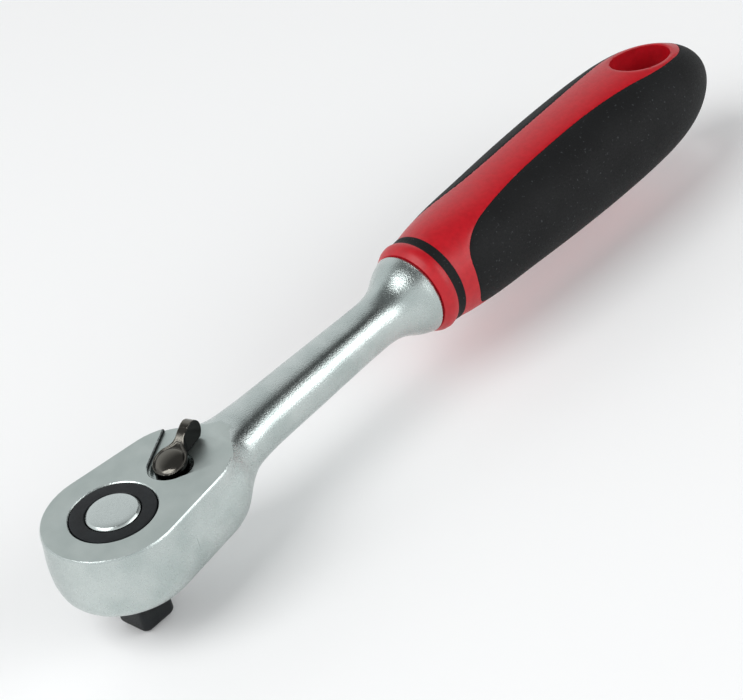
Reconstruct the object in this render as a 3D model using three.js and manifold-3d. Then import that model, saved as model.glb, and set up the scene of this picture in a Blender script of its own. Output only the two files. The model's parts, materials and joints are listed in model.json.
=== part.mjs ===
// Reversible ratchet wrench: 3/8 inch square drive, 72-tooth wheel, push-button socket release,
// reversing lever let into the head, round forged shank and a two-material grip with a hang hole.
//
// Frame, in millimetres: the drive turns about Z, the handle runs along +X, and the origin is the
// centre of the square's free end face. Heights inside the head are given as depths below its
// machined top face, and at() turns a depth into a Z.

import * as THREE from 'three';
import { mergeVertices } from 'three/addons/utils/BufferGeometryUtils.js';
import Module from 'manifold-3d';

const wasm = await Module();
wasm.setup();

// ---------------------------------------------------------------- driving dimensions

// Square drive and its hub
const SQUARE_ACROSS = 9.5;
const SQUARE_LENGTH = 12.6;
const SQUARE_CORNER_RADIUS = 1.5;
const SQUARE_END_CHAMFER = 1.0;
const HUB_RADIUS = 10;
const HUB_PROUD_BELOW = 0.3;
const BALL_RADIUS = 1.6;
const BALL_PROUD = 0.6;
const BALL_FROM_END = 5.6;

// Toothed wheel, which stands out from its hub by a step
const TOOTH_COUNT = 72;
const WHEEL_STEP = 1.5;
const TOOTH_DEPTH = 0.75;
const WHEEL_TOP_DEPTH = 3.5;

// Forged head: its outline is two circles joined by tangents, one round the drive and one
// round the lever
const HEAD_THICKNESS = 17.9;
const HEAD_WALL_WIDTH = 4.8;
const HEAD_REAR_RADIUS = 13.6;
const HEAD_UNDERCUT = 2.3;

// Shank, from the lever's axis back to the collar's rear face, and the tang inside the grip
const SHANK_LENGTH = 79.6;
const SHANK_AXIS_DEPTH = 6.8;
const SHANK_RADIUS = 6.5;
const SHANK_FLAT_DEPTH = 1.1;
const FLAT_CROWN_RADIUS = 63;
const COLLAR_RADIUS = 10.5;
const FLARE_LENGTH = 12.5;
const TANG_RADIUS = 5;
const TANG_LENGTH = 72;

// Lever recess in the head's top
const RECESS_DEPTH = 0.9;
const RECESS_HALF_ANGLE = THREE.MathUtils.degToRad(29);
const PIT_DEPTH = 2.1;

// Reversing lever
const LEVER_REST_ANGLE = THREE.MathUtils.degToRad(14);
const BOSS_RADIUS = 4.1;
const LEVER_REACH = 11.6;
const TAB_HALF_WIDTH = 1.35;
const WAIST_HALF_WIDTH = 1.25;
const TAB_HEIGHT = 4.6;
const POST_RADIUS = 3;

// Pawl, which rocks about an upright axis between the wheel and the lever's post
const PAWL_ROCK = THREE.MathUtils.degToRad(4.5);
const PAWL_WIDTH = 3.1;
const PAWL_HALF_ANGLE = THREE.MathUtils.degToRad(50);
const TOOTH_GAP = 0.3;

// Plunger and spring in the post
const PLUNGER_RADIUS = 1.1;
const PLUNGER_LENGTH = 3.1;
const PLUNGER_PROUD = 0.9;

// Release button, pin and spring
const BUTTON_RADIUS = 6.3;
const BUTTON_PROUD = 0.5;
const BUTTON_THICKNESS = 3.1;
const BUTTON_TRAVEL = 2.4;
const COUNTERBORE_DEPTH = 7;
const PIN_RELIEF = 0.7;
const PIN_BELOW_BALL = 1.5;

// Bottom closure
const WASHER_THICKNESS = 0.8;
const COVER_LEDGE = 0.7;
const COVER_THICKNESS = 1.7;
const RETAINER_THICKNESS = 0.7;
const RETAINER_RECESS = 0.35;

// Grip, as round-equivalent radii at distances behind the collar; the section turns oval
const GRIP_PROFILE = [[0.3, 10.6], [3, 11.8], [6.6, 11.8], [11, 12.5], [19, 13.3],
  [31, 13.9], [48, 14.7], [65, 15.05], [79, 14.8], [89, 14], [96.6, 12.3],
  [102.4, 10], [106.2, 7.7], [109, 5.2], [110.6, 2.6]];
const GRIP_WIDEN = 0.085;
const GRIP_FLATTEN = 0.067;
const OVAL_START = 6;
const OVAL_LENGTH = 24;
const BAND_START = 4;
const BAND_WIDTH = 2.6;
const BAND_DEPTH = 1.2;
const OVERMOULD_DEPTH = 1.8;
const PANEL_START = 11;
const STRIPE_HALF_WIDTHS = [[11, 14], [11.8, 11.2], [14.3, 9.3], [17.8, 7.9], [24.8, 6.5], [34.8, 5.5],
  [48.8, 5.3], [66.8, 5.7], [78.8, 6.7], [87.8, 7.6], [94.8, 7.1], [100.8, 5.2], [103.8, 3], [105.8, 0.6]];
const HANG_HOLE_PLACE = 92.3;
const HANG_HOLE_LENGTH = 18.5;
const HANG_HOLE_WIDTH = 12;

// Clearances
const RUNNING_GAP = 0.25;
const SEAT_GAP = 0.15;
const SEAL_GAP = 0.1;
const BALL_GAP = 0.35;

// ---------------------------------------------------------------- derived places

const HEAD_TOP = SQUARE_LENGTH + HUB_PROUD_BELOW + HEAD_THICKNESS;
const at = (depth) => HEAD_TOP - depth;
const SHANK_Z = at(SHANK_AXIS_DEPTH);
const WHEEL_RADIUS = HUB_RADIUS + WHEEL_STEP;
const HEAD_FRONT_RADIUS = WHEEL_RADIUS + HEAD_WALL_WIDTH;
const CHAMBER_RADIUS = WHEEL_RADIUS + 2 * RUNNING_GAP;
const LOWER_HUB_RADIUS = HUB_RADIUS - 0.6;
const COVER_RADIUS = CHAMBER_RADIUS + COVER_LEDGE;

// The parts under the wheel are stacked up from the head's underside
const RETAINER_TOP_DEPTH = HEAD_THICKNESS - RETAINER_RECESS - RETAINER_THICKNESS;
const COVER_BOTTOM_DEPTH = RETAINER_TOP_DEPTH - SEAT_GAP;
const COVER_TOP_DEPTH = COVER_BOTTOM_DEPTH - COVER_THICKNESS;
const COVER_MID_DEPTH = (COVER_TOP_DEPTH + COVER_BOTTOM_DEPTH) / 2;
const WHEEL_BOTTOM_DEPTH = COVER_TOP_DEPTH - WASHER_THICKNESS - 2 * SEAT_GAP;

// Pawl and post, measured from the wheel
const PAWL_BACK_RADIUS = WHEEL_RADIUS + PAWL_WIDTH;
const PAWL_AXIS_X = WHEEL_RADIUS + 2.5;
const PAWL_TOP_DEPTH = WHEEL_TOP_DEPTH + 1.9;
const PAWL_BOTTOM_DEPTH = WHEEL_BOTTOM_DEPTH - 0.2;
const PLUNGER_DEPTH = (PAWL_TOP_DEPTH + PAWL_BOTTOM_DEPTH) / 2;
const LEVER_X = PAWL_AXIS_X + POST_RADIUS + 1.4;
const POCKET_TOP_DEPTH = PAWL_TOP_DEPTH - 1.4;
const POCKET_BOTTOM_DEPTH = PAWL_BOTTOM_DEPTH + 2 * RUNNING_GAP;
const POST_END_DEPTH = POCKET_BOTTOM_DEPTH + 1.6;
const CLIP_RADIUS = POST_RADIUS + 1.4;
const CLIP_THICKNESS = 0.6;
const CLIP_TOP_DEPTH = POCKET_TOP_DEPTH + SEAT_GAP;
const SCOOP_RADIUS = POST_RADIUS + PLUNGER_PROUD + 1.5 * RUNNING_GAP;
const PIT_RADIUS = BOSS_RADIUS + 0.85;
const RECESS_RADIUS = PIT_RADIUS + 0.55;

// Locking ball and the pin that backs it
const BALL_Z = BALL_FROM_END;
const BALL_CENTRE_X = SQUARE_ACROSS / 2 + BALL_PROUD - BALL_RADIUS;
const PIN_RADIUS = BALL_CENTRE_X - BALL_RADIUS - BALL_GAP;
const PIN_WAIST_RADIUS = PIN_RADIUS - PIN_RELIEF;

// The grip starts at the collar and clears it by its own first station
const COLLAR_X = LEVER_X + SHANK_LENGTH;
const GRIP_START = GRIP_PROFILE[0][0];
const GRIP_END = GRIP_PROFILE[GRIP_PROFILE.length - 1][0];
const GRIP_CLEAR = 2 * Math.max(...GRIP_PROFILE.map(([, radius]) => radius));

// ---------------------------------------------------------------- shape helpers

const FINE = 36;
const MEDIUM = 24;
const COARSE = 16;

function solid(geometry) {
  const bare = geometry.clone();
  bare.deleteAttribute('normal');
  bare.deleteAttribute('uv');
  const merged = mergeVertices(bare, 1e-4);
  return new wasm.Manifold(new wasm.Mesh({
    numProp: 3,
    vertProperties: new Float32Array(merged.attributes.position.array),
    triVerts: new Uint32Array(merged.index.array),
  }));
}

function geometryOf(body) {
  const mesh = body.getMesh();
  const geometry = new THREE.BufferGeometry();
  geometry.setAttribute('position', new THREE.BufferAttribute(mesh.vertProperties, 3));
  geometry.setIndex(new THREE.BufferAttribute(mesh.triVerts, 1));
  return geometry;
}

// A closed solid through rings of equal point count. The rings follow one another along an axis
// and each runs anticlockwise about that axis.
function loft(rings) {
  const count = rings[0].length;
  const positions = rings.flat().flatMap((p) => [p.x, p.y, p.z]);
  const index = [];
  const ends = [rings[0], rings[rings.length - 1]];
  for (const ring of ends) {
    const centre = ring.reduce((sum, p) => sum.add(p), new THREE.Vector3()).divideScalar(count);
    positions.push(centre.x, centre.y, centre.z);
  }
  const first = rings.length * count;
  const last = first + 1;
  for (let j = 0; j < count; j += 1) {
    const next = (j + 1) % count;
    for (let i = 0; i + 1 < rings.length; i += 1) {
      const a = i * count;
      const b = a + count;
      index.push(a + j, a + next, b + next, a + j, b + next, b + j);
    }
    const top = (rings.length - 1) * count;
    index.push(first, next, j, last, top + j, top + next);
  }
  const geometry = new THREE.BufferGeometry();
  geometry.setAttribute('position', new THREE.Float32BufferAttribute(positions, 3));
  geometry.setIndex(index);
  return solid(geometry);
}

// A solid of revolution about an upright axis. The profile of [radius, z] pairs runs
// anticlockwise with the radius to the right, and starts and ends on the axis or closes.
function turned(profile, segments = FINE) {
  const points = profile.map(([radius, z]) => new THREE.Vector2(radius, z));
  const lathe = new THREE.LatheGeometry(points, segments);
  lathe.rotateX(Math.PI / 2);
  return solid(lathe);
}

function disc(radius, low, high, segments = FINE) {
  return turned([[0, low], [radius, low], [radius, high], [0, high]], segments);
}

function tube(inner, outer, low, high, segments = FINE) {
  return turned([[inner, low], [outer, low], [outer, high], [inner, high], [inner, low]], segments);
}

function torus(major, minor, z) {
  const profile = [];
  for (let i = 0; i <= 6; i += 1) {
    const angle = (i / 6) * 2 * Math.PI;
    profile.push([major + minor * Math.cos(angle), z + minor * Math.sin(angle)]);
  }
  return turned(profile, MEDIUM);
}

// A prism over a plan outline, between two heights
function prism(shape, low, high, segments = COARSE) {
  const options = { depth: high - low, bevelEnabled: false, curveSegments: segments };
  const geometry = new THREE.ExtrudeGeometry(shape, options);
  geometry.translate(0, 0, low);
  return solid(geometry);
}

function slab(x0, x1, y0, y1, z0, z1) {
  const geometry = new THREE.BoxGeometry(x1 - x0, y1 - y0, z1 - z0);
  geometry.translate((x0 + x1) / 2, (y0 + y1) / 2, (z0 + z1) / 2);
  return solid(geometry);
}

function moved(body, x, y = 0, z = 0) {
  return body.translate([x, y, z]);
}

// Turn a solid about the upright line through (x, 0)
function turnedAbout(body, x, angle) {
  return body.translate([-x, 0, 0]).rotate([0, 0, THREE.MathUtils.radToDeg(angle)])
    .translate([x, 0, 0]);
}

function union(first, ...rest) {
  return rest.reduce((sum, body) => sum.add(body), first);
}

function cut(body, ...tools) {
  return tools.reduce((left, tool) => left.subtract(tool), body);
}

const steel = { roughness: 0.32, metalness: 1 };
const assembly = new THREE.Group();

function addPart(name, body, colour, finish) {
  const material = new THREE.MeshStandardMaterial({ color: colour, ...finish });
  const mesh = new THREE.Mesh(geometryOf(body), material);
  mesh.name = name;
  assembly.add(mesh);
}

// ---------------------------------------------------------------- forged head and shank

// The head's plan outline, grown by an offset, as points anticlockwise from above
function headOutline(offset, z) {
  const front = HEAD_FRONT_RADIUS + offset;
  const rear = HEAD_REAR_RADIUS + offset;
  const lean = Math.asin((front - rear) / LEVER_X);
  const ring = [];
  for (let i = 0; i <= 10; i += 1) {
    const angle = (lean - Math.PI / 2) + (i / 10) * (Math.PI - 2 * lean);
    ring.push(new THREE.Vector3(LEVER_X + rear * Math.cos(angle), rear * Math.sin(angle), z));
  }
  for (let i = 0; i <= 20; i += 1) {
    const angle = (Math.PI / 2 - lean) + (i / 20) * (Math.PI + 2 * lean);
    ring.push(new THREE.Vector3(front * Math.cos(angle), front * Math.sin(angle), z));
  }
  return ring;
}

// Side wall of the head, as [depth, how far it stands out from the top outline]
const HEAD_WALL = [[1, -HEAD_UNDERCUT], [0.95, -HEAD_UNDERCUT / 2], [0.88, -0.1], [0.76, 0.6],
  [0.5, 1], [0.22, 0.65], [0.02, 0.3], [0, 0]];

function headBlank() {
  return loft(HEAD_WALL.map(([share, out]) => headOutline(out, at(share * HEAD_THICKNESS))));
}

// One section across the handle: a round of that half-width, drawn down to a depth below the
// shank's axis and cut off above it by a slightly crowned flat
function handleSection(x, half, above, below) {
  const ring = [];
  for (let i = 0; i < MEDIUM; i += 1) {
    const angle = (i / MEDIUM) * 2 * Math.PI;
    const y = half * Math.cos(angle);
    const rise = Math.sin(angle);
    const flat = above - (y * y) / (2 * FLAT_CROWN_RADIUS);
    const z = rise > 0 ? Math.min(half * rise, flat) : below * rise;
    ring.push(new THREE.Vector3(x, y, SHANK_Z + z));
  }
  return ring;
}

const SHANK_ABOVE = SHANK_AXIS_DEPTH - SHANK_FLAT_DEPTH;
const NECK_END_X = LEVER_X + 25.6;
const FLARE_FROM_X = COLLAR_X - FLARE_LENGTH;
const FLARE_FADE = 2.2;

// Neck sections as [distance behind the lever's axis, half-width, above, below]
const NECK = [[3, 11.8, 6.65, 9.9], [8, 11.2, 6.65, 9.8], [12.4, 9.5, 6.3, 9.3],
  [15.4, 8.8, 6.08, 8.7], [18.1, 8.3, 5.88, 8.1], [21.6, 7.8, 5.65, 7.6]];

// The bell in front of the grip, as [share of its length, share of its rise]
const FLARE = [[0.2, 0.09], [0.39, 0.25], [0.57, 0.49], [0.66, 0.65], [0.75, 0.77], [0.85, 0.88],
  [0.95, 0.98], [1, 1]];

function shankBlank() {
  const sections = NECK.map(([back, ...rest]) => handleSection(LEVER_X + back, ...rest));
  const neckRadius = SHANK_RADIUS + 0.75;
  const slimRadius = SHANK_RADIUS - 0.35;
  sections.push(handleSection(NECK_END_X, neckRadius, SHANK_ABOVE, neckRadius));
  sections.push(handleSection((NECK_END_X + FLARE_FROM_X) / 2, SHANK_RADIUS, SHANK_ABOVE, SHANK_RADIUS));
  sections.push(handleSection(FLARE_FROM_X, slimRadius, SHANK_ABOVE, slimRadius));
  for (const [along, rise] of FLARE) {
    const radius = slimRadius + rise * (COLLAR_RADIUS - slimRadius);
    const above = SHANK_ABOVE + rise * (COLLAR_RADIUS + FLARE_FADE - SHANK_ABOVE);
    sections.push(handleSection(FLARE_FROM_X + along * FLARE_LENGTH, radius, above, radius));
  }
  const tang = [COLLAR_X, COLLAR_X + TANG_LENGTH - 2, COLLAR_X + TANG_LENGTH];
  const tangRadii = [TANG_RADIUS, TANG_RADIUS, TANG_RADIUS - 1.5];
  tang.forEach((x, i) => {
    sections.push(handleSection(x, tangRadii[i], tangRadii[i] + 1, tangRadii[i]));
  });
  return loft(sections);
}

const RECESS_REACH = 30;
const ABOVE_HEAD = -5;

// The fan-shaped floor milled for the lever's swing
function recessCutter() {
  const start = Math.PI / 2 + RECESS_HALF_ANGLE;
  const shape = new THREE.Shape();
  shape.absarc(LEVER_X, 0, RECESS_RADIUS, start, 2 * Math.PI - start, false);
  const side = RECESS_RADIUS * Math.sin(start) + RECESS_REACH * Math.tan(RECESS_HALF_ANGLE);
  const end = LEVER_X + RECESS_RADIUS * Math.cos(start) + RECESS_REACH;
  shape.lineTo(end, -side);
  shape.lineTo(end, side);
  return prism(shape, at(RECESS_DEPTH), at(ABOVE_HEAD));
}

// Pocket that the pawl rocks in, undercut behind the wheel's chamber
function pawlPocket() {
  const reach = PAWL_HALF_ANGLE + 2.6 * PAWL_ROCK;
  const outer = PAWL_BACK_RADIUS + 1.5;
  const shape = new THREE.Shape();
  shape.moveTo(0, 0);
  shape.lineTo(outer * Math.cos(reach), -outer * Math.sin(reach));
  shape.absarc(0, 0, outer, -reach, reach, false);
  shape.lineTo(0, 0);
  const low = at(POCKET_BOTTOM_DEPTH);
  const high = at(POCKET_TOP_DEPTH);
  const wings = prism(shape, low, high).subtract(disc(WHEEL_RADIUS - 2, low - 1, high + 1));
  const postRoom = moved(disc(CLIP_RADIUS + 2 * RUNNING_GAP, low, high, MEDIUM), LEVER_X);
  return wings.add(postRoom);
}

function ratchetBody() {
  const low = at(HEAD_THICKNESS) - 1;
  const grooveRadius = COVER_RADIUS + SEAT_GAP + 0.6;
  const grooveLow = at(RETAINER_TOP_DEPTH + RETAINER_THICKNESS + SEAT_GAP);
  return cut(
    headBlank().add(shankBlank()),
    recessCutter(),
    moved(disc(PIT_RADIUS, at(PIT_DEPTH), at(ABOVE_HEAD), MEDIUM), LEVER_X),
    moved(disc(POST_RADIUS + RUNNING_GAP, at(POST_END_DEPTH + 0.5), at(ABOVE_HEAD), MEDIUM), LEVER_X),
    disc(HUB_RADIUS + RUNNING_GAP, low, at(-1)),
    disc(CHAMBER_RADIUS, low, at(WHEEL_TOP_DEPTH - RUNNING_GAP)),
    disc(COVER_RADIUS + SEAT_GAP, low, at(COVER_TOP_DEPTH - SEAT_GAP)),
    tube(CHAMBER_RADIUS - 1, grooveRadius, grooveLow, at(RETAINER_TOP_DEPTH - SEAT_GAP)),
    pawlPocket(),
  );
}

addPart('ratchet_body', ratchetBody(), 0xc9cdca, steel);

// ---------------------------------------------------------------- drive wheel, hub and square

// Plan outline of the toothed wheel, grown radially by an offset
function wheelShape(offset) {
  const shape = new THREE.Shape();
  for (let i = 0; i < TOOTH_COUNT; i += 1) {
    const tip = ((i + 0.5) / TOOTH_COUNT) * 2 * Math.PI;
    const root = ((i + 1) / TOOTH_COUNT) * 2 * Math.PI;
    const tipRadius = WHEEL_RADIUS + offset;
    const rootRadius = tipRadius - TOOTH_DEPTH;
    const place = i === 0 ? 'moveTo' : 'lineTo';
    shape[place](tipRadius * Math.cos(tip), tipRadius * Math.sin(tip));
    shape.lineTo(rootRadius * Math.cos(root), rootRadius * Math.sin(root));
  }
  return shape;
}

function squareRing(shrink, z) {
  const half = SQUARE_ACROSS / 2 - shrink;
  const radius = SQUARE_CORNER_RADIUS;
  const ring = [];
  for (let corner = 0; corner < 4; corner += 1) {
    const turn = corner * (Math.PI / 2);
    const x = (half - radius) * Math.SQRT2 * Math.cos(turn + Math.PI / 4);
    const y = (half - radius) * Math.SQRT2 * Math.sin(turn + Math.PI / 4);
    for (let i = 0; i <= 4; i += 1) {
      const angle = turn + (i / 4) * (Math.PI / 2);
      ring.push(new THREE.Vector3(x + radius * Math.cos(angle), y + radius * Math.sin(angle), z));
    }
  }
  return ring;
}

const SEAL_RADIUS = 0.45;
const SEAL_DEPTH = 1.7;
const SEAL_LAND = 0.75;
const PIN_END_Z = BALL_Z - PIN_BELOW_BALL;

function hubProfile() {
  const groove = HUB_RADIUS - SEAL_LAND - SEAL_GAP;
  const lowerGroove = LOWER_HUB_RADIUS - SEAL_LAND - SEAL_GAP;
  return [
    [0, SQUARE_LENGTH], [LOWER_HUB_RADIUS, SQUARE_LENGTH],
    [LOWER_HUB_RADIUS, at(COVER_MID_DEPTH + SEAL_LAND)],
    [lowerGroove, at(COVER_MID_DEPTH + SEAL_LAND)],
    [lowerGroove, at(COVER_MID_DEPTH - SEAL_LAND)],
    [LOWER_HUB_RADIUS, at(COVER_MID_DEPTH - SEAL_LAND)],
    [LOWER_HUB_RADIUS, at(WHEEL_BOTTOM_DEPTH - 1)], [HUB_RADIUS, at(WHEEL_TOP_DEPTH + 1)],
    [HUB_RADIUS, at(SEAL_DEPTH + SEAL_LAND)], [groove, at(SEAL_DEPTH + SEAL_LAND)],
    [groove, at(SEAL_DEPTH - SEAL_LAND)], [HUB_RADIUS, at(SEAL_DEPTH - SEAL_LAND)],
    [HUB_RADIUS, HEAD_TOP], [0, HEAD_TOP],
  ];
}

function ballHole() {
  const hole = new THREE.CylinderGeometry(BALL_RADIUS + 0.1, BALL_RADIUS + 0.1, 10, COARSE);
  hole.rotateZ(Math.PI / 2);
  hole.translate(5, 0, BALL_Z);
  return solid(hole);
}

function driveGear() {
  const wheel = prism(wheelShape(0), at(WHEEL_BOTTOM_DEPTH), at(WHEEL_TOP_DEPTH));
  const square = loft([
    squareRing(SQUARE_END_CHAMFER, 0),
    squareRing(0, SQUARE_END_CHAMFER),
    squareRing(0, SQUARE_LENGTH + 1),
  ]);
  return cut(
    union(turned(hubProfile()), wheel, square),
    disc(BUTTON_RADIUS + RUNNING_GAP, at(COUNTERBORE_DEPTH), HEAD_TOP + 1),
    disc(PIN_RADIUS + RUNNING_GAP, PIN_END_Z - BUTTON_TRAVEL - 0.4, HEAD_TOP, COARSE),
    ballHole(),
  );
}

addPart('drive_gear', driveGear(), 0x23262a, { roughness: 0.5, metalness: 0.6 });

// Rubber rings that keep grit out of the head, above and below the wheel
const sealSeats = {
  hub_seal: [HUB_RADIUS, SEAL_DEPTH],
  cover_seal: [LOWER_HUB_RADIUS, COVER_MID_DEPTH],
};
for (const [name, [radius, depth]] of Object.entries(sealSeats)) {
  const ring = torus(radius - SEAL_LAND + SEAL_RADIUS, SEAL_RADIUS, at(depth));
  addPart(name, ring, 0x151515, { roughness: 0.8, metalness: 0 });
}

const ball = new THREE.SphereGeometry(BALL_RADIUS, COARSE, 12);
ball.rotateX(Math.PI / 2);
ball.translate(BALL_CENTRE_X, 0, BALL_Z);
addPart('socket_ball', solid(ball), 0xd9dcde, steel);

// ---------------------------------------------------------------- quick-release button

const BUTTON_TOP = HEAD_TOP + BUTTON_PROUD;
const BUTTON_BOTTOM = BUTTON_TOP - BUTTON_THICKNESS;
const PIN_SEAT_Z = BUTTON_TOP - 1.2;
const BUTTON_BEVEL = 0.45;

const buttonProfile = [
  [0, BUTTON_BOTTOM], [BUTTON_RADIUS, BUTTON_BOTTOM], [BUTTON_RADIUS, BUTTON_TOP - BUTTON_BEVEL],
  [BUTTON_RADIUS - BUTTON_BEVEL, BUTTON_TOP], [0, BUTTON_TOP],
];
const pinSocket = disc(PIN_RADIUS + SEAT_GAP, BUTTON_BOTTOM - 1, PIN_SEAT_Z + SEAT_GAP, COARSE);
addPart('release_button', turned(buttonProfile).subtract(pinSocket), 0xd3d6d4, steel);

// The pin narrows above the ball, so pressing it lets the ball drop in
const pinProfile = [
  [0, PIN_END_Z], [PIN_RADIUS, PIN_END_Z], [PIN_RADIUS, BALL_Z],
  [PIN_WAIST_RADIUS, BALL_Z + BUTTON_TRAVEL], [PIN_WAIST_RADIUS, BALL_Z + 4.1],
  [PIN_RADIUS, BALL_Z + 4.8], [PIN_RADIUS, PIN_SEAT_Z], [0, PIN_SEAT_Z],
];
addPart('release_pin', turned(pinProfile, COARSE), 0xb9bdbd, steel);

// A wire coil between two heights, its ends a little short of both
function coil(radius, wire, turns, low, high, sides, stepsPerTurn) {
  const points = [];
  const steps = turns * stepsPerTurn;
  for (let i = 0; i <= steps; i += 1) {
    const angle = (i / stepsPerTurn) * 2 * Math.PI;
    const z = low + wire + (i / steps) * (high - low - 2 * wire);
    points.push(new THREE.Vector3(radius * Math.cos(angle), radius * Math.sin(angle), z));
  }
  const section = new THREE.Shape();
  for (let i = 0; i < sides; i += 1) {
    const angle = (i / sides) * 2 * Math.PI;
    const place = i === 0 ? 'moveTo' : 'lineTo';
    section[place](wire * Math.cos(angle), wire * Math.sin(angle));
  }
  section.closePath();
  const path = new THREE.CatmullRomCurve3(points);
  return solid(new THREE.ExtrudeGeometry(section, { steps, extrudePath: path }));
}

const springRadius = (BUTTON_RADIUS + PIN_RADIUS) / 2;
const releaseSpring = coil(springRadius, 0.3, 3.5, at(COUNTERBORE_DEPTH) + SEAT_GAP,
  BUTTON_BOTTOM - SEAT_GAP, 6, 14);
addPart('release_spring', releaseSpring, 0xa9adb0, steel);

// ---------------------------------------------------------------- reversing lever

// Built with its post on Z and its tab towards +X, then turned to its rest angle
function atLever(body) {
  return moved(body.rotate([0, 0, THREE.MathUtils.radToDeg(LEVER_REST_ANGLE)]), LEVER_X);
}

const LOBE_RADIUS = 2.5;
const LOBE_END_ANGLE = THREE.MathUtils.degToRad(130);
const BOSS_HEIGHT = 0.95;
const BOSS_BOTTOM_DEPTH = PIT_DEPTH - RUNNING_GAP;
const TAB_BOTTOM_DEPTH = RECESS_DEPTH - RUNNING_GAP;

// The lever seen from above: round boss, narrow waist, rounded tab
function leverPlan() {
  const shape = new THREE.Shape();
  const waistX = BOSS_RADIUS + 1.4;
  const tabX = LEVER_REACH - TAB_HALF_WIDTH;
  const shoulder = Math.PI * 0.24;
  shape.absarc(0, 0, BOSS_RADIUS, shoulder, 2 * Math.PI - shoulder, false);
  shape.quadraticCurveTo(BOSS_RADIUS, -WAIST_HALF_WIDTH, waistX, -WAIST_HALF_WIDTH);
  shape.lineTo(tabX, -TAB_HALF_WIDTH);
  shape.absarc(tabX, 0, TAB_HALF_WIDTH, -Math.PI / 2, Math.PI / 2, false);
  shape.lineTo(waistX, WAIST_HALF_WIDTH);
  const shoulderX = BOSS_RADIUS * Math.cos(shoulder);
  shape.quadraticCurveTo(BOSS_RADIUS, WAIST_HALF_WIDTH, shoulderX, BOSS_RADIUS * Math.sin(shoulder));
  return shape;
}

// The lever seen from the side, in (x, height above the head's top)
function leverSide() {
  const reach = LEVER_REACH;
  const shape = new THREE.Shape();
  shape.moveTo(-BOSS_RADIUS - 1, -BOSS_BOTTOM_DEPTH);
  shape.lineTo(BOSS_RADIUS, -BOSS_BOTTOM_DEPTH);
  shape.lineTo(BOSS_RADIUS, -TAB_BOTTOM_DEPTH);
  shape.lineTo(reach - LOBE_RADIUS - 0.8, -TAB_BOTTOM_DEPTH);
  shape.absarc(reach - LOBE_RADIUS, TAB_HEIGHT - LOBE_RADIUS, LOBE_RADIUS, -Math.PI / 4, LOBE_END_ANGLE);
  shape.quadraticCurveTo(BOSS_RADIUS + 0.1, BOSS_HEIGHT + 0.1, 0.5, BOSS_HEIGHT);
  shape.lineTo(-BOSS_RADIUS - 1, BOSS_HEIGHT / 2);
  return shape;
}

const POST_SEAL_DEPTH = PIT_DEPTH + 0.95;
const POST_SEAL_RADIUS = 0.4;
const POST_SEAL_LAND = 0.8;

function leverPost() {
  const sealRoom = POST_SEAL_RADIUS + SEAL_GAP;
  const sealFloor = POST_RADIUS - POST_SEAL_LAND;
  const clipRoom = CLIP_THICKNESS + SEAT_GAP;
  const clipFloor = POST_RADIUS - 0.6;
  return [
    [0, at(POST_END_DEPTH)], [POST_RADIUS - 0.5, at(POST_END_DEPTH)],
    [POST_RADIUS, at(POST_END_DEPTH - 0.5)],
    [POST_RADIUS, at(CLIP_TOP_DEPTH + clipRoom)], [clipFloor, at(CLIP_TOP_DEPTH + clipRoom)],
    [clipFloor, at(CLIP_TOP_DEPTH - SEAT_GAP)], [POST_RADIUS, at(CLIP_TOP_DEPTH - SEAT_GAP)],
    [POST_RADIUS, at(POST_SEAL_DEPTH + sealRoom)], [sealFloor, at(POST_SEAL_DEPTH + sealRoom)],
    [sealFloor, at(POST_SEAL_DEPTH - sealRoom)], [POST_RADIUS, at(POST_SEAL_DEPTH - sealRoom)],
    [POST_RADIUS, at(BOSS_BOTTOM_DEPTH - 0.5)], [0, at(BOSS_BOTTOM_DEPTH - 0.5)],
  ];
}

const PLUNGER_FRONT_X = -POST_RADIUS - PLUNGER_PROUD;
const PLUNGER_BACK_X = PLUNGER_FRONT_X + PLUNGER_LENGTH;
const PLUNGER_BORE_END_X = POST_RADIUS - 1;
const PLUNGER_TRAVEL = 0.8;
const PLUNGER_WIRE = 0.15;
const SPRING_END_GAP = 0.06;

function plungerBore() {
  const radius = PLUNGER_RADIUS + SEAT_GAP;
  const bore = new THREE.CylinderGeometry(radius, radius, POST_RADIUS + PLUNGER_BORE_END_X, 16);
  bore.rotateZ(Math.PI / 2);
  bore.translate((PLUNGER_BORE_END_X - POST_RADIUS) / 2, 0, at(PLUNGER_DEPTH));
  const mouth = slab(-POST_RADIUS - 1, -POST_RADIUS + 1, -radius, radius,
    at(PLUNGER_DEPTH) - radius, at(PLUNGER_DEPTH) + radius);
  return solid(bore).add(mouth);
}

function reverseLever() {
  const plan = prism(leverPlan(), at(5), at(-8));
  const side = new THREE.ExtrudeGeometry(leverSide(), {
    depth: 4 * BOSS_RADIUS, bevelEnabled: false, curveSegments: 8,
  });
  side.rotateX(Math.PI / 2);
  side.translate(0, 2 * BOSS_RADIUS, HEAD_TOP);
  const handle = plan.intersect(solid(side));
  return atLever(handle.add(turned(leverPost(), MEDIUM)).subtract(plungerBore()));
}

addPart('reverse_lever', reverseLever(), 0x4a4744, { roughness: 0.22, metalness: 1 });

const postSeal = torus(POST_RADIUS - POST_SEAL_LAND + SEAL_GAP + POST_SEAL_RADIUS,
  POST_SEAL_RADIUS, at(POST_SEAL_DEPTH));
addPart('lever_seal', atLever(postSeal), 0x151515, { roughness: 0.8, metalness: 0 });

// Spring-steel clip in the post's groove, open on the side away from the wheel
const clipLow = at(CLIP_TOP_DEPTH + CLIP_THICKNESS);
const clipRing = tube(POST_RADIUS - 0.6 + SEAL_GAP, CLIP_RADIUS, clipLow, at(CLIP_TOP_DEPTH), MEDIUM);
const clipMouth = slab(0, CLIP_RADIUS + 1, -1.2, 1.2, at(CLIP_TOP_DEPTH + 2), at(0));
addPart('lever_clip', atLever(clipRing.subtract(clipMouth)), 0x3c4044, steel);

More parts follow.
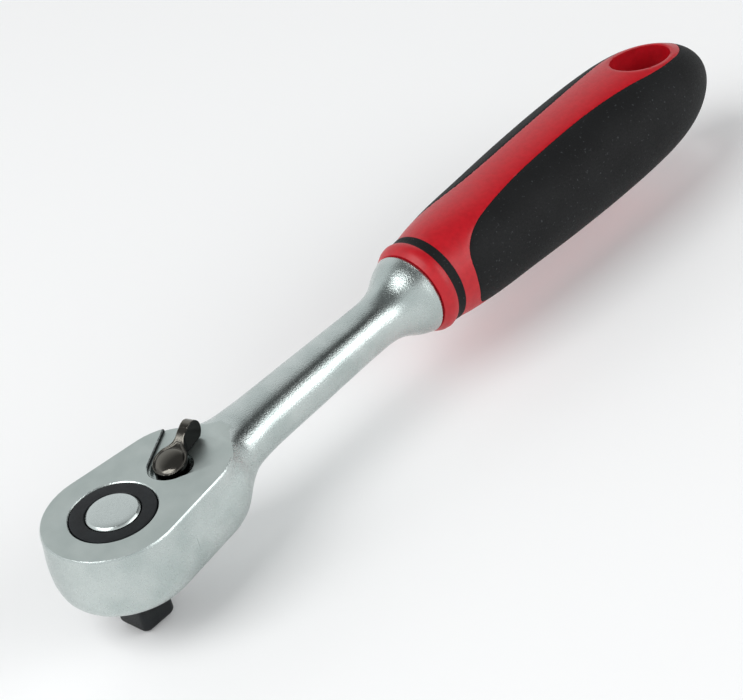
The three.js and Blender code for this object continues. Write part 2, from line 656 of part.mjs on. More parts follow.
// Plunger with a rounded nose towards the wheel, lying along X before the lever is turned
function alongX(body) {
  return body.rotate([0, 90, 0]);
}

const noseRadius = PLUNGER_RADIUS;
const plungerProfile = [[0, 0], [noseRadius * 0.5, noseRadius * 0.14],
  [noseRadius * 0.87, noseRadius * 0.5], [noseRadius, noseRadius], [noseRadius, PLUNGER_LENGTH],
  [0, PLUNGER_LENGTH]];
const plunger = moved(alongX(turned(plungerProfile, 16)), PLUNGER_FRONT_X, 0, at(PLUNGER_DEPTH));
addPart('pawl_plunger', atLever(plunger), 0xc0c4c4, steel);

const plungerSpring = moved(
  alongX(coil(PLUNGER_RADIUS - 0.35, PLUNGER_WIRE, 4, PLUNGER_BACK_X + PLUNGER_TRAVEL + SPRING_END_GAP,
    PLUNGER_BORE_END_X - SPRING_END_GAP, 5, 10)),
  0, 0, at(PLUNGER_DEPTH),
);
addPart('plunger_spring', atLever(plungerSpring), 0xa9adb0, steel);

// ---------------------------------------------------------------- double-ended pawl

// In its middle position both toothed ends are clear of the wheel. Rocked one way or the other,
// the teeth of one end stand in the wheel's gaps.
function pawlBlank() {
  const shape = new THREE.Shape();
  shape.absarc(0, 0, PAWL_BACK_RADIUS, -PAWL_HALF_ANGLE, PAWL_HALF_ANGLE, false);
  shape.absarc(0, 0, WHEEL_RADIUS - TOOTH_DEPTH, PAWL_HALF_ANGLE, -PAWL_HALF_ANGLE, true);
  const low = at(PAWL_BOTTOM_DEPTH);
  const high = at(PAWL_TOP_DEPTH);
  const scoop = moved(disc(SCOOP_RADIUS, low - 1, high + 1, MEDIUM), LEVER_X);
  const middle = new THREE.Shape();
  const free = THREE.MathUtils.degToRad(19);
  const clear = WHEEL_RADIUS + 1.1;
  middle.moveTo(0, 0);
  middle.absarc(0, 0, clear, -free, free, false);
  middle.lineTo(0, 0);
  return cut(prism(shape, low, high), scoop, prism(middle, low - 1, high + 1));
}

function pawl() {
  const low = at(PAWL_BOTTOM_DEPTH) - 1;
  const high = at(PAWL_TOP_DEPTH) + 1;
  const wheel = prism(wheelShape(TOOTH_GAP), low, high);
  const middle = cut(
    pawlBlank(),
    turnedAbout(wheel, PAWL_AXIS_X, PAWL_ROCK),
    turnedAbout(wheel, PAWL_AXIS_X, -PAWL_ROCK),
  );
  return turnedAbout(middle, PAWL_AXIS_X, -PAWL_ROCK);
}

addPart('pawl', pawl(), 0x8d9190, steel);

// ---------------------------------------------------------------- bottom closure

const hubClear = LOWER_HUB_RADIUS + RUNNING_GAP;

// Waved friction washer that keeps the wheel from spinning freely
function frictionWasher() {
  const mid = at(WHEEL_BOTTOM_DEPTH + SEAT_GAP + WASHER_THICKNESS / 2);
  const wave = 0.18;
  const half = 0.2;
  const corners = [[hubClear, -half], [WHEEL_RADIUS, -half], [WHEEL_RADIUS, half], [hubClear, half]];
  const positions = [];
  const index = [];
  for (let i = 0; i < FINE; i += 1) {
    const angle = (i / FINE) * 2 * Math.PI;
    for (const [radius, height] of corners) {
      const z = mid + height + wave * Math.sin(3 * angle);
      positions.push(radius * Math.cos(angle), radius * Math.sin(angle), z);
    }
    const a = i * 4;
    const b = ((i + 1) % FINE) * 4;
    for (let j = 0; j < 4; j += 1) {
      const next = (j + 1) % 4;
      index.push(a + j, b + next, a + next, a + j, b + j, b + next);
    }
  }
  const geometry = new THREE.BufferGeometry();
  geometry.setAttribute('position', new THREE.Float32BufferAttribute(positions, 3));
  geometry.setIndex(index);
  return solid(geometry);
}

addPart('friction_washer', frictionWasher(), 0x9a9ea0, steel);

const cover = tube(hubClear, COVER_RADIUS, at(COVER_BOTTOM_DEPTH), at(COVER_TOP_DEPTH));
addPart('cover_plate', cover, 0xb4b8b6, steel);

// Inside retaining ring with a gap and two eyes for the pliers
function retainingRing() {
  const low = at(RETAINER_TOP_DEPTH + RETAINER_THICKNESS);
  const high = at(RETAINER_TOP_DEPTH);
  const outer = COVER_RADIUS + 0.5;
  const inner = outer - 1.5;
  const eyeAngle = THREE.MathUtils.degToRad(11);
  const eyeRadius = 1.15;
  const mouth = slab(-outer - 1, 0, -1.1, 1.1, low - 1, high + 1);
  let ring = tube(inner, outer, low, high).subtract(mouth);
  for (const side of [-1, 1]) {
    const angle = Math.PI + side * eyeAngle;
    const reach = inner + 0.1;
    const x = reach * Math.cos(angle);
    const y = reach * Math.sin(angle);
    ring = ring.add(moved(disc(eyeRadius, low, high, 16), x, y));
    ring = ring.subtract(moved(disc(0.5, low - 1, high + 1, 12), x, y));
  }
  return ring;
}

addPart('retaining_ring', retainingRing(), 0x3c4044, steel);

// ---------------------------------------------------------------- grip

function smooth(t) {
  return THREE.MathUtils.smoothstep(t, 0, 1);
}

// Value at x on a soft curve through [x, value] pairs
function through(pairs, x) {
  const i = Math.max(0, pairs.findIndex(([px], k) => k + 1 < pairs.length && x <= pairs[k + 1][0]));
  const [x0, v0] = pairs[i];
  const [x1, v1] = pairs[i + 1];
  return v0 + ((v1 - v0) * (x - x0)) / (x1 - x0);
}

// The grip's outer body, drawn in by an inset, between two distances behind the collar
function gripBody(inset, from = GRIP_START, to = GRIP_END) {
  const places = GRIP_PROFILE.map(([along]) => along).filter((along) => along > from && along < to);
  const rings = [from, ...places, to].map((along) => {
    const radius = through(GRIP_PROFILE, along) - inset;
    const oval = smooth((along - OVAL_START) / OVAL_LENGTH);
    const ring = [];
    for (let i = 0; i < MEDIUM; i += 1) {
      const angle = (i / MEDIUM) * 2 * Math.PI;
      const y = radius * (1 + GRIP_WIDEN * oval) * Math.cos(angle);
      const z = radius * (1 - GRIP_FLATTEN * oval) * Math.sin(angle);
      ring.push(new THREE.Vector3(COLLAR_X + along, y, SHANK_Z + z));
    }
    return ring;
  });
  return loft(rings);
}

// An open outline moved to its left by a distance, corner by corner
function movedOutline(points, distance) {
  return points.map((p, i) => {
    const before = points[Math.max(i - 1, 0)];
    const after = points[Math.min(i + 1, points.length - 1)];
    const along = after.clone().sub(before).normalize();
    return new THREE.Vector2(p.x - distance * along.y, p.y + distance * along.x);
  });
}

// Plan outline of the hard stripe that runs along the top and the underside, grown by an offset
function stripeCutter(offset) {
  const edge = STRIPE_HALF_WIDTHS.map(([along, half]) => new THREE.Vector2(COLLAR_X + along, half));
  const far = movedOutline(edge, offset);
  const near = far.map((p) => new THREE.Vector2(p.x, -p.y));
  const front = COLLAR_X + PANEL_START - 6;
  const shape = new THREE.Shape();
  shape.moveTo(front, -GRIP_CLEAR);
  near.forEach((p) => shape.lineTo(p.x, p.y));
  far.reverse().forEach((p) => shape.lineTo(p.x, p.y));
  shape.lineTo(front, GRIP_CLEAR);
  return prism(shape, SHANK_Z - GRIP_CLEAR, SHANK_Z + GRIP_CLEAR);
}

function hangHole() {
  const shape = new THREE.Shape();
  shape.absellipse(COLLAR_X + HANG_HOLE_PLACE, 0, HANG_HOLE_LENGTH / 2, HANG_HOLE_WIDTH / 2,
    0, 2 * Math.PI, false, 0);
  return prism(shape, SHANK_Z - GRIP_CLEAR, SHANK_Z + GRIP_CLEAR);
}

function tangBore() {
  const radius = TANG_RADIUS + SEAT_GAP;
  const bore = new THREE.CylinderGeometry(radius, radius, TANG_LENGTH + 2, MEDIUM);
  bore.rotateZ(Math.PI / 2);
  bore.translate(COLLAR_X + TANG_LENGTH / 2, 0, SHANK_Z);
  return solid(bore);
}

function gripSlice(from, to) {
  return slab(COLLAR_X + from, COLLAR_X + to, -GRIP_CLEAR, GRIP_CLEAR,
    SHANK_Z - GRIP_CLEAR, SHANK_Z + GRIP_CLEAR);
}

// A ring of the grip's own surface, deep from outside and widened to both sides by a margin
function gripBand(depth, margin) {
  const from = BAND_START - margin;
  const to = BAND_START + BAND_WIDTH + margin;
  return gripBody(-margin, from, to).subtract(gripBody(depth, from - 1, to + 1));
}

function gripCore() {
  const outer = gripBody(0);
  const inner = gripBody(OVERMOULD_DEPTH, PANEL_START - 2, GRIP_END - OVERMOULD_DEPTH);
  const front = outer.intersect(gripSlice(0, PANEL_START - 1));
  const stripes = cut(outer.intersect(stripeCutter(0)), gripSlice(0, PANEL_START - 2));
  const bandRoom = gripBand(BAND_DEPTH + SEAT_GAP, SEAT_GAP);
  return cut(union(inner, front, stripes), bandRoom, hangHole(), tangBore());
}

function gripOvermould() {
  const inside = gripBody(OVERMOULD_DEPTH - RUNNING_GAP, PANEL_START - 3,
    GRIP_END - OVERMOULD_DEPTH + RUNNING_GAP);
  return cut(gripBody(0, PANEL_START), inside, stripeCutter(RUNNING_GAP));
}

const red = { roughness: 0.4, metalness: 0 };
const rubber = { roughness: 0.75, metalness: 0 };
addPart('grip_core', gripCore(), 0xc41420, red);
addPart('grip_band', gripBand(BAND_DEPTH, 0), 0x1a1b1d, rubber);
addPart('grip_overmould', gripOvermould(), 0x1a1b1d, rubber);

export default assembly;
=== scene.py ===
import json
import math

import bmesh
import bpy
import numpy as np
from mathutils import Matrix, Vector


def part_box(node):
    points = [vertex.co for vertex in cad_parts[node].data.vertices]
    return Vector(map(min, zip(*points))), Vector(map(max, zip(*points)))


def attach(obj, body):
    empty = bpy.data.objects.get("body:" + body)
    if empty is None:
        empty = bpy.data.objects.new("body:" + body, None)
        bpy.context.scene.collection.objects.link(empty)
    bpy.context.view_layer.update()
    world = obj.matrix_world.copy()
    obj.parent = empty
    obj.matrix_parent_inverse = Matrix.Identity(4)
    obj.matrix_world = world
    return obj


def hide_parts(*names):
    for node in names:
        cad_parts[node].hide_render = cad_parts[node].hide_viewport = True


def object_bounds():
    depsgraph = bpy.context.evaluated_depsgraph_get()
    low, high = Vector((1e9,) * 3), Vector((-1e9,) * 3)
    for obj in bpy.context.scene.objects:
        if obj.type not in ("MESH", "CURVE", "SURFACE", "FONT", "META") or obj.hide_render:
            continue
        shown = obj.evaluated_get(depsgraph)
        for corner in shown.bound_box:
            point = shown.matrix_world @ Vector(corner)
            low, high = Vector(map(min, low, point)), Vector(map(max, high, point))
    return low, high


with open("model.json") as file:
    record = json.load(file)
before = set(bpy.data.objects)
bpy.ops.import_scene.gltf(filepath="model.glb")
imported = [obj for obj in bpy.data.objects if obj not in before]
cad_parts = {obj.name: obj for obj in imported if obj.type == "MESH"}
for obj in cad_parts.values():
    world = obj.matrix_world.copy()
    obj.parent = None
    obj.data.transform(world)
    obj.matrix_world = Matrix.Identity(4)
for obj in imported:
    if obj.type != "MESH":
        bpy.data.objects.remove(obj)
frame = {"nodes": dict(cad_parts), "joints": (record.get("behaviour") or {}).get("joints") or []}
cad_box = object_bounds()


# ------------------------------------------------------------------ forged head and shank
# One drop forging in chrome vanadium steel, blasted and satin chrome plated. The top of the head is
# milled flat after forging, and the fan-shaped recess for the lever is milled into that face.

MM = 0.001


def node_box(name):
    """Lowest and highest corner of a CAD node, in millimetres."""
    return [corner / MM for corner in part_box(name)]


body_low, body_high = node_box("ratchet_body")
joints = {joint["name"]: joint for joint in frame["joints"]}
HEAD_TOP = node_box("drive_gear")[1].z
HEAD_LOW = body_low.z
LEVER_X = joints["lever_flip"]["pos_m"][0] / MM
WALL_BULGE = 1.0
FRONT_RADIUS = -body_low.x - WALL_BULGE
REAR_RADIUS = 13.6
GRIP_GAP = 0.3
COLLAR_X = node_box("grip_core")[0].x - GRIP_GAP
COLLAR_RADIUS = 10.5
SHANK_Z = HEAD_TOP - 6.8
TANG_RADIUS = 5
TANG_END_X = body_high.x

# Side wall of the head, as (depth below its top, how far it stands out from the top's outline)
HEAD_WALL = [(0, 0.05), (0.35, 0.32), (1.5, 0.45), (4, 0.65), (9, 1.0), (13.6, 0.6), (15.7, -0.1),
             (17, -1.15), (HEAD_TOP - HEAD_LOW, -2.3)]

# Neck and shank, as (x, half-width, crown of the full round, height of the flat, depth), the last three
# measured from the shank's axis
SHANK = [(8, 8.0, 9, 6.6, 5), (18, 9.6, 9.6, 6.65, 7.6),
         (23.5, 10.8, 10.4, 6.7, 9.2), (27, 10.9, 9.9, 6.6, 9.6),
         (30.8, 9.5, 8.6, 6.3, 9.3), (33.8, 8.8, 7.0, 6.0, 8.7), (36.5, 8.3, 6.4, 5.9, 8.1),
         (40, 7.85, 6.3, 5.9, 7.6), (44, 7.4, 6.3, 5.9, 7.3), (49, 7.15, 6.3, 5.9, 7.1),
         (60, 6.85, 6.3, 5.9, 6.75), (70, 6.5, 6.25, 5.85, 6.4), (81, 6.2, 6.15, 5.9, 6.15),
         (85.5, 6.2, 6.2, 6.3, 6.2), (88.2, 6.55, 6.55, 7.2, 6.55), (90.4, 7.2, 7.2, 9.0, 7.2),
         (92.6, 8.3, 8.3, 10.6, 8.3), (93.7, 8.95, 8.95, 11.2, 8.95), (94.8, 9.5, 9.5, 11.6, 9.5),
         (95.9, 9.95, 9.95, 11.9, 9.95), (97, 10.3, 10.3, 12, 10.3),
         (97.65, COLLAR_RADIUS, COLLAR_RADIUS, 12, COLLAR_RADIUS),
         (COLLAR_X, COLLAR_RADIUS - 0.2, COLLAR_RADIUS - 0.2, 12, COLLAR_RADIUS - 0.2)]
FLAT_CROWN_RADIUS = 63


def curve(knots, places):
    """Values at some places on a smooth curve through (place, value) knots."""
    at, value = np.array(knots, float).T
    slope = np.gradient(value, at)
    i = np.clip(np.searchsorted(at, places) - 1, 0, len(at) - 2)
    width = at[i + 1] - at[i]
    t = np.clip((places - at[i]) / width, 0, 1)
    rise = t * t * (3 - 2 * t)
    bend = t * (1 - t)
    swing = bend * ((1 - t) * slope[i] - t * slope[i + 1]) * width
    return value[i] * (1 - rise) + value[i + 1] * rise + swing


def plan_distance(x, y):
    """Distance outside the outline of the head's top: two circles joined by their tangents."""
    lean = (FRONT_RADIUS - REAR_RADIUS) / LEVER_X
    run = math.sqrt(1 - lean * lean)
    y = np.abs(y)
    along = run * x - lean * y
    beside = run * y + lean * x - FRONT_RADIUS
    front = np.hypot(x, y) - FRONT_RADIUS
    rear = np.hypot(x - LEVER_X, y) - REAR_RADIUS
    return np.where(along < 0, front, np.where(along > run * LEVER_X, rear, beside))


def soft_min(a, b, width):
    """The lower of two distances, with a fillet of about that width where they cross."""
    mix = np.clip(width - np.abs(a - b), 0, None) / width
    return np.minimum(a, b) - mix * mix * width / 4


def forging_distance(x, y, z):
    """Roughly how far a point is outside the neck and shank, blended into the head."""
    inside = 0.06
    wall = plan_distance(x, y) - curve(HEAD_WALL, HEAD_TOP - z) + inside
    head = np.maximum(wall, HEAD_LOW + inside - z)
    stations = np.array(SHANK)
    half, crown, above, below = (curve(stations[:, [0, i]], x) for i in (1, 2, 3, 4))
    drop = z - SHANK_Z
    tall = np.where(drop > 0, crown, below)
    round_side = (np.hypot(y / half, drop / tall) - 1) * np.minimum(half, tall)
    flat_edge = 0.7
    flat = drop - above + y * y / (2 * FLAT_CROWN_RADIUS)
    shank = -soft_min(-round_side, -flat, flat_edge)
    fillet = 1 + 6 * np.clip((HEAD_TOP - z - 1) / 5, 0, 1)
    above_head = np.where(x < LEVER_X + 2 * REAR_RADIUS, z - HEAD_TOP + inside, -inside)
    return np.maximum(soft_min(head, shank, fillet), above_head)


def mesh_piece(name, points, faces):
    """A closed mesh object from points in millimetres, with its faces turned outwards."""
    mesh = bpy.data.meshes.new(name)
    mesh.from_pydata([(x * MM, y * MM, z * MM) for x, y, z in points], [], faces)
    form = bmesh.new()
    form.from_mesh(mesh)
    bmesh.ops.recalc_face_normals(form, faces=form.faces)
    form.to_mesh(mesh)
    form.free()
    piece = bpy.data.objects.new(name, mesh)
    bpy.context.scene.collection.objects.link(piece)
    return piece


def loft(name, rings, closed=False):
    """A skin through rings of equal point count, capped at both ends or joined end to end."""
    count = len(rings[0])
    points = [tuple(point) for ring in rings for point in ring]
    faces = []
    for i in range(len(rings) if closed else len(rings) - 1):
        here = i * count
        there = ((i + 1) % len(rings)) * count
        for j in range(count):
            after = (j + 1) % count
            faces.append((here + j, here + after, there + after, there + j))
    if not closed:
        faces.append(tuple(range(count)))
        faces.append(tuple(range(len(points) - count, len(points))))
    return mesh_piece(name, points, faces)


def turned(name, profile, centre=(0, 0), steps=128, closed=False):
    """A solid of revolution about an upright axis, from (radius, z) pairs."""
    angles = [2 * math.pi * j / steps for j in range(steps)]
    rings = [[(centre[0] + radius * math.cos(a), centre[1] + radius * math.sin(a), z) for a in angles]
             for radius, z in profile]
    return loft(name, rings, closed)


def rounded(outline, radius, closed=True, steps=4):
    """An outline with each corner swapped for a soft arc that starts that far from the corner."""
    corners = [Vector(point) for point in outline]
    points = []
    for i, corner in enumerate(corners):
        if not closed and i in (0, len(corners) - 1):
            points.append(tuple(corner))
            continue
        before = corners[i - 1] - corner
        after = corners[(i + 1) % len(corners)] - corner
        reach = min(radius, 0.45 * before.length, 0.45 * after.length)
        start = corner + before.normalized() * reach
        end = corner + after.normalized() * reach
        for step in range(steps + 1):
            t = step / steps
            points.append(tuple(start.lerp(corner, t).lerp(corner.lerp(end, t), t)))
    return points


def head_outline(offset, z, steps=72):
    """The head's plan outline grown by an offset, at a height."""
    front = FRONT_RADIUS + offset
    rear = REAR_RADIUS + offset
    lean = math.asin((front - rear) / LEVER_X)
    rear_turn = math.pi - 2 * lean
    front_turn = math.pi + 2 * lean
    ring = []
    for j in range(steps):
        angle = lean - math.pi / 2 + rear_turn * j / (steps - 1)
        ring.append((LEVER_X + rear * math.cos(angle), rear * math.sin(angle), z))
    for j in range(2 * steps):
        angle = math.pi / 2 - lean + front_turn * j / (2 * steps - 1)
        ring.append((front * math.cos(angle), front * math.sin(angle), z))
    return ring


def settle(piece):
    """Turns a piece's modifiers into plain mesh."""
    graph = bpy.context.evaluated_depsgraph_get()
    mesh = bpy.data.meshes.new_from_object(piece.evaluated_get(graph))
    piece.modifiers.clear()
    piece.data = mesh


def combine(piece, operation, *tools):
    """Joins other solids to a piece, or cuts them from it, and uses them up."""
    for tool in tools:
        modifier = piece.modifiers.new(operation, "BOOLEAN")
        modifier.operation = operation
        modifier.solver = "MANIFOLD"
        modifier.object = tool
    settle(piece)
    for tool in tools:
        bpy.data.objects.remove(tool)
    return piece


def shade(piece, angle=28):
    """Smooth shading, with a crisp edge wherever faces meet at more than an angle."""
    piece.data.shade_smooth()
    piece.data.set_sharp_from_angle(angle=math.radians(angle))


def blended_neck():
    """Neck, shank and bell, found along rays from the shank's axis."""
    spacing = 0.5
    x = np.linspace(SHANK[0][0], COLLAR_X, round((COLLAR_X - SHANK[0][0]) / spacing) + 1)[:, None]
    angle = np.linspace(0, 2 * math.pi, 180, endpoint=False)[None, :]
    low = np.zeros((x.size, angle.size))
    high = low + 26
    for _ in range(26):
        reach = (low + high) / 2
        outside = forging_distance(x + 0 * angle, reach * np.cos(angle), SHANK_Z + reach * np.sin(angle)) > 0
        high = np.where(outside, reach, high)
        low = np.where(outside, low, reach)
    y = reach * np.cos(angle)
    z = SHANK_Z + reach * np.sin(angle)
    return loft("neck", np.stack([x + 0 * y, y, z], axis=2).tolist())


def tang():
    """The round bar that the grip is moulded on to."""
    profile = [(TANG_RADIUS, COLLAR_X - 2), (TANG_RADIUS, TANG_END_X - 1.5), (TANG_RADIUS - 1.5, TANG_END_X)]
    bar = turned("tang", profile, steps=64)
    lie_along_x(bar, SHANK_Z)
    return bar


def lie_along_x(piece, height):
    """Lays a piece that was made upright on Z along X, at a height above the origin."""
    turn = Matrix(((0, 0, 1, 0), (0, 1, 0, 0), (-1, 0, 0, height * MM), (0, 0, 0, 1)))
    piece.data.transform(turn)


RECESS_DEPTH = 0.9
RECESS_HALF_ANGLE = math.radians(29)
RECESS_RADIUS = 5.5
RECESS_REACH = 20
PIT_RADIUS = 4.95
PIT_DEPTH = 2.1
POST_BORE = 3.25
EDGE = 0.22


def recess_outline(grow, z):
    """The fan that the lever swings over, open towards the grip."""
    start = math.pi / 2 + RECESS_HALF_ANGLE
    radius = RECESS_RADIUS + grow
    arc = [start + (2 * math.pi - 2 * start) * j / 24 for j in range(25)]
    ring = [(LEVER_X + radius * math.cos(a), radius * math.sin(a), z) for a in arc]
    side = radius * math.sin(start) + RECESS_REACH * math.tan(RECESS_HALF_ANGLE)
    far_x = LEVER_X + radius * math.cos(start) + RECESS_REACH
    return ring + [(far_x, -side, z), (far_x, side, z)]


def recess_cutter():
    """The fan-shaped milling cut, with a small chamfer round its upper edge."""
    floor = HEAD_TOP - RECESS_DEPTH
    return loft("recess", [recess_outline(0, floor), recess_outline(0, HEAD_TOP - EDGE),
                           recess_outline(EDGE, HEAD_TOP), recess_outline(EDGE, HEAD_TOP + 3)])


def bore(name, radius, low, high, mouth, centre=(0, 0)):
    """A round cutter whose upper end is flush with a face and chamfers that face's edge."""
    profile = [(radius, low), (radius, high - mouth), (radius + mouth, high), (radius + mouth, high + 2)]
    return turned(name, profile, centre)


HUB_BORE = 10.25
CHAMBER_RADIUS = 12
CHAMBER_TOP = HEAD_TOP - 3.25
COVER_SEAT_RADIUS = 12.85
COVER_SEAT_TOP = HEAD_LOW + 3.05
GROOVE_RADIUS = 13.5


def head_forging():
    """The head's outer form as a stack of outlines."""
    depth = HEAD_TOP - HEAD_LOW
    places = [0, 0.12, 0.35] + list(np.linspace(0.8, depth - 0.5, 30)) + [depth - 0.2, depth]
    return loft("ratchet_forging", [head_outline(float(curve(HEAD_WALL, place)), HEAD_TOP - place)
                                    for place in reversed(places)])


forging = head_forging()
combine(forging, "UNION", blended_neck())
combine(forging, "UNION", tang())
lever_axis = (LEVER_X, 0)
bottom_mouth = [(COVER_SEAT_RADIUS, COVER_SEAT_TOP), (COVER_SEAT_RADIUS, HEAD_LOW + EDGE),
                (COVER_SEAT_RADIUS + EDGE, HEAD_LOW), (COVER_SEAT_RADIUS + EDGE, HEAD_LOW - 1)]
groove = [(CHAMBER_RADIUS - 1, HEAD_LOW + 0.2), (GROOVE_RADIUS, HEAD_LOW + 0.2),
          (GROOVE_RADIUS, HEAD_LOW + 1.2), (CHAMBER_RADIUS - 1, HEAD_LOW + 1.2)]
combine(
    forging, "DIFFERENCE",
    recess_cutter(),
    bore("pit", PIT_RADIUS, HEAD_TOP - PIT_DEPTH, HEAD_TOP - RECESS_DEPTH, EDGE / 2, lever_axis),
    bore("post_bore", POST_BORE, HEAD_LOW + 2, HEAD_TOP - PIT_DEPTH, EDGE / 2, lever_axis),
    bore("hub_bore", HUB_BORE, HEAD_LOW + 3, HEAD_TOP, EDGE),
    turned("chamber", [(CHAMBER_RADIUS, HEAD_LOW - 1), (CHAMBER_RADIUS, CHAMBER_TOP)]),
    turned("cover_seat", bottom_mouth),
    turned("groove", groove, closed=True),
)
shade(forging)


def linear(code):
    """Linear colour for an sRGB hex code."""
    channels = [int(code[i:i + 2], 16) / 255 for i in (1, 3, 5)]
    return [c / 12.92 if c <= 0.04045 else ((c + 0.055) / 1.055) ** 2.4 for c in channels] + [1]


def add_node(tree, kind, inputs=None, **settings):
    """Adds a node with its settings. An input takes a value, or a socket to link from."""
    node = tree.nodes.new(kind)
    for name, value in settings.items():
        setattr(node, name, value)
    for name, value in (inputs or {}).items():
        if isinstance(value, bpy.types.NodeSocket):
            tree.links.new(value, node.inputs[name])
        else:
            node.inputs[name].default_value = value
    return node


def grain(tree, size, detail=3, roughness=0.5, stretch=None):
    """Noise on object coordinates whose features are about that many millimetres across."""
    place = add_node(tree, "ShaderNodeTexCoord").outputs["Object"]
    if stretch:
        place = add_node(tree, "ShaderNodeMapping", {"Vector": place, "Scale": stretch}).outputs[0]
    settings = {"Vector": place, "Scale": 1 / (size * MM), "Detail": detail, "Roughness": roughness}
    return add_node(tree, "ShaderNodeTexNoise", settings).outputs["Fac"]


def spread(tree, value, low, high, start=0.35, end=0.65):
    """A noise value stretched between two numbers."""
    limits = {"Value": value, "From Min": start, "From Max": end, "To Min": low, "To Max": high}
    return add_node(tree, "ShaderNodeMapRange", limits).outputs[0]


def blend_colours(tree, factor, first, second):
    """A mix of two hex colours by a factor."""
    inputs = {0: factor, 6: linear(first), 7: linear(second)}
    return add_node(tree, "ShaderNodeMix", inputs, data_type="RGBA").outputs[2]


def relief(tree, height, depth, strength, under=None):
    """Bump of a real depth in millimetres, over another bump if there is one."""
    inputs = {"Height": height, "Distance": depth * MM, "Strength": strength}
    if under is not None:
        inputs["Normal"] = under
    return add_node(tree, "ShaderNodeBump", inputs).outputs[0]


def surface(name, build):
    """A material whose shader is built by a function of its node tree."""
    material = bpy.data.materials.new(name)
    material.use_nodes = True
    tree = material.node_tree
    tree.nodes.clear()
    shader = build(tree)
    add_node(tree, "ShaderNodeOutputMaterial", {"Surface": shader.outputs[0]})
    return material


# Satin chrome plate over shot-blasted steel. The blasting leaves dimples of about 0.3 mm, which
# break highlights into a pearly sparkle; a broad unevenness of plating shifts its sheen a little.
def satin_chrome(tree):
    dimples = grain(tree, 0.34, detail=3)
    uneven = grain(tree, 9, detail=2)
    bumps = relief(tree, dimples, 0.06, 1)
    return add_node(tree, "ShaderNodeBsdfPrincipled", {
        "Base Color": blend_colours(tree, spread(tree, uneven, 0, 1), "#B3BDBB", "#C3CBC9"),
        "Metallic": 1.0,
        "Roughness": spread(tree, dimples, 0.2, 0.3),
        "Normal": bumps,
    })


# The same plate on the milled face: flatter and duller, with faint arcs left by the cutter
def milled_chrome(tree):
    fine = grain(tree, 0.25, detail=3)
    arcs = grain(tree, 0.5, detail=2, stretch=(0.12, 1, 1))
    uneven = grain(tree, 6, detail=2)
    bumps = relief(tree, arcs, 0.01, 0.5, relief(tree, fine, 0.01, 0.35))
    return add_node(tree, "ShaderNodeBsdfPrincipled", {
        "Base Color": blend_colours(tree, spread(tree, uneven, 0, 1), "#B9C3C0", "#C2CBC8"),
        "Metallic": 1.0,
        "Roughness": spread(tree, fine, 0.36, 0.46),
        "Normal": bumps,
    })


chrome = surface("satin_chrome_plate", satin_chrome)
chrome_milled = surface("milled_chrome_plate", milled_chrome)


# The upright wall of the milled recess, coloured dull and dark as painted shade: it stands in for the shadow
# and dark reflection that fall on that wall
def painted_shade_recess_wall(tree):
    fine = grain(tree, 0.3, detail=3)
    return add_node(tree, "ShaderNodeBsdfPrincipled", {
        "Base Color": blend_colours(tree, spread(tree, fine, 0, 1), "#2A2E2F", "#3D4243"),
        "Metallic": 0.8,
        "Roughness": 0.5,
    })


def paint_faces(piece, base, *finishes):
    """Gives a piece one finish, and others to the faces that their tests pick."""
    piece.data.materials.clear()
    piece.data.materials.append(base)
    piece.data.polygons.foreach_set("material_index", [0] * len(piece.data.polygons))
    for index, (material, chosen) in enumerate(finishes, 1):
        piece.data.materials.append(material)
        for face in piece.data.polygons:
            if chosen(face.center / MM, face.normal):
                face.material_index = index


MILLED_LENGTH = 17.4


def on_milled_face(centre, normal):
    """Whether a face is on the head's flat top or on the recess's floor."""
    milled_end = LEVER_X + MILLED_LENGTH
    return normal.z > 0.995 and centre.z > HEAD_TOP - RECESS_DEPTH - 0.05 and centre.x < milled_end


def on_recess_wall(centre, normal):
    """Whether a face is on the upright wall round the recess."""
    beside = plan_distance(centre.x, centre.y) < -0.3
    return abs(normal.z) < 0.2 and HEAD_TOP - RECESS_DEPTH < centre.z < HEAD_TOP - EDGE / 2 and beside


# The recess's upright wall takes a dark material that is painted shade
paint_faces(forging, chrome, (chrome_milled, on_milled_face),
            (surface("recess_wall_painted_shade", painted_shade_recess_wall), on_recess_wall))


def fit(piece, body, slot, *nodes, material=None):
    """Puts a finished piece on its body, in place of the CAD nodes that it stands for."""
    if material:
        piece.data.materials.clear()
        piece.data.materials.append(material)
    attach(piece, body)
    if nodes:
        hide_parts(*nodes)


fit(forging, "handle", "satin_chrome", "ratchet_body")


# ------------------------------------------------------------------ drive wheel, hub and square
# A single turned and hobbed steel part: 72 fine teeth round its middle, a plain hub above and below,
# and the square that sockets go on. It is hardened and given a matt black phosphate finish.

gear_high = node_box("drive_gear")[1]
TOOTH_COUNT = 72
TOOTH_DEPTH = 0.75
WHEEL_RADIUS = gear_high.x
WHEEL_TOP = HEAD_TOP - 3.5
WHEEL_BOTTOM = HEAD_LOW + 4
HUB_RADIUS = 10
LOWER_HUB_RADIUS = HUB_RADIUS - 0.6
SQUARE_LENGTH = 12.6
SQUARE_HALF = 4.75
SQUARE_CORNER = 1.5
BUTTON_RADIUS = 6.3
BUTTON_GAP = 0.25
COUNTERBORE_DEPTH = 7
BALL_Z = 5.6
PIN_BORE = 2.05


def square_outline(shrink, z, steps=8):
    """The square's section with rounded corners, drawn in by an amount."""
    half = SQUARE_HALF - shrink
    radius = SQUARE_CORNER
    ring = []
    for corner in range(4):
        turn = corner * math.pi / 2
        middle = (half - radius) * math.sqrt(2)
        x = middle * math.cos(turn + math.pi / 4)
        y = middle * math.sin(turn + math.pi / 4)
        for j in range(steps + 1):
            angle = turn + j / steps * math.pi / 2
            ring.append((x + radius * math.cos(angle), y + radius * math.sin(angle), z))
    return ring


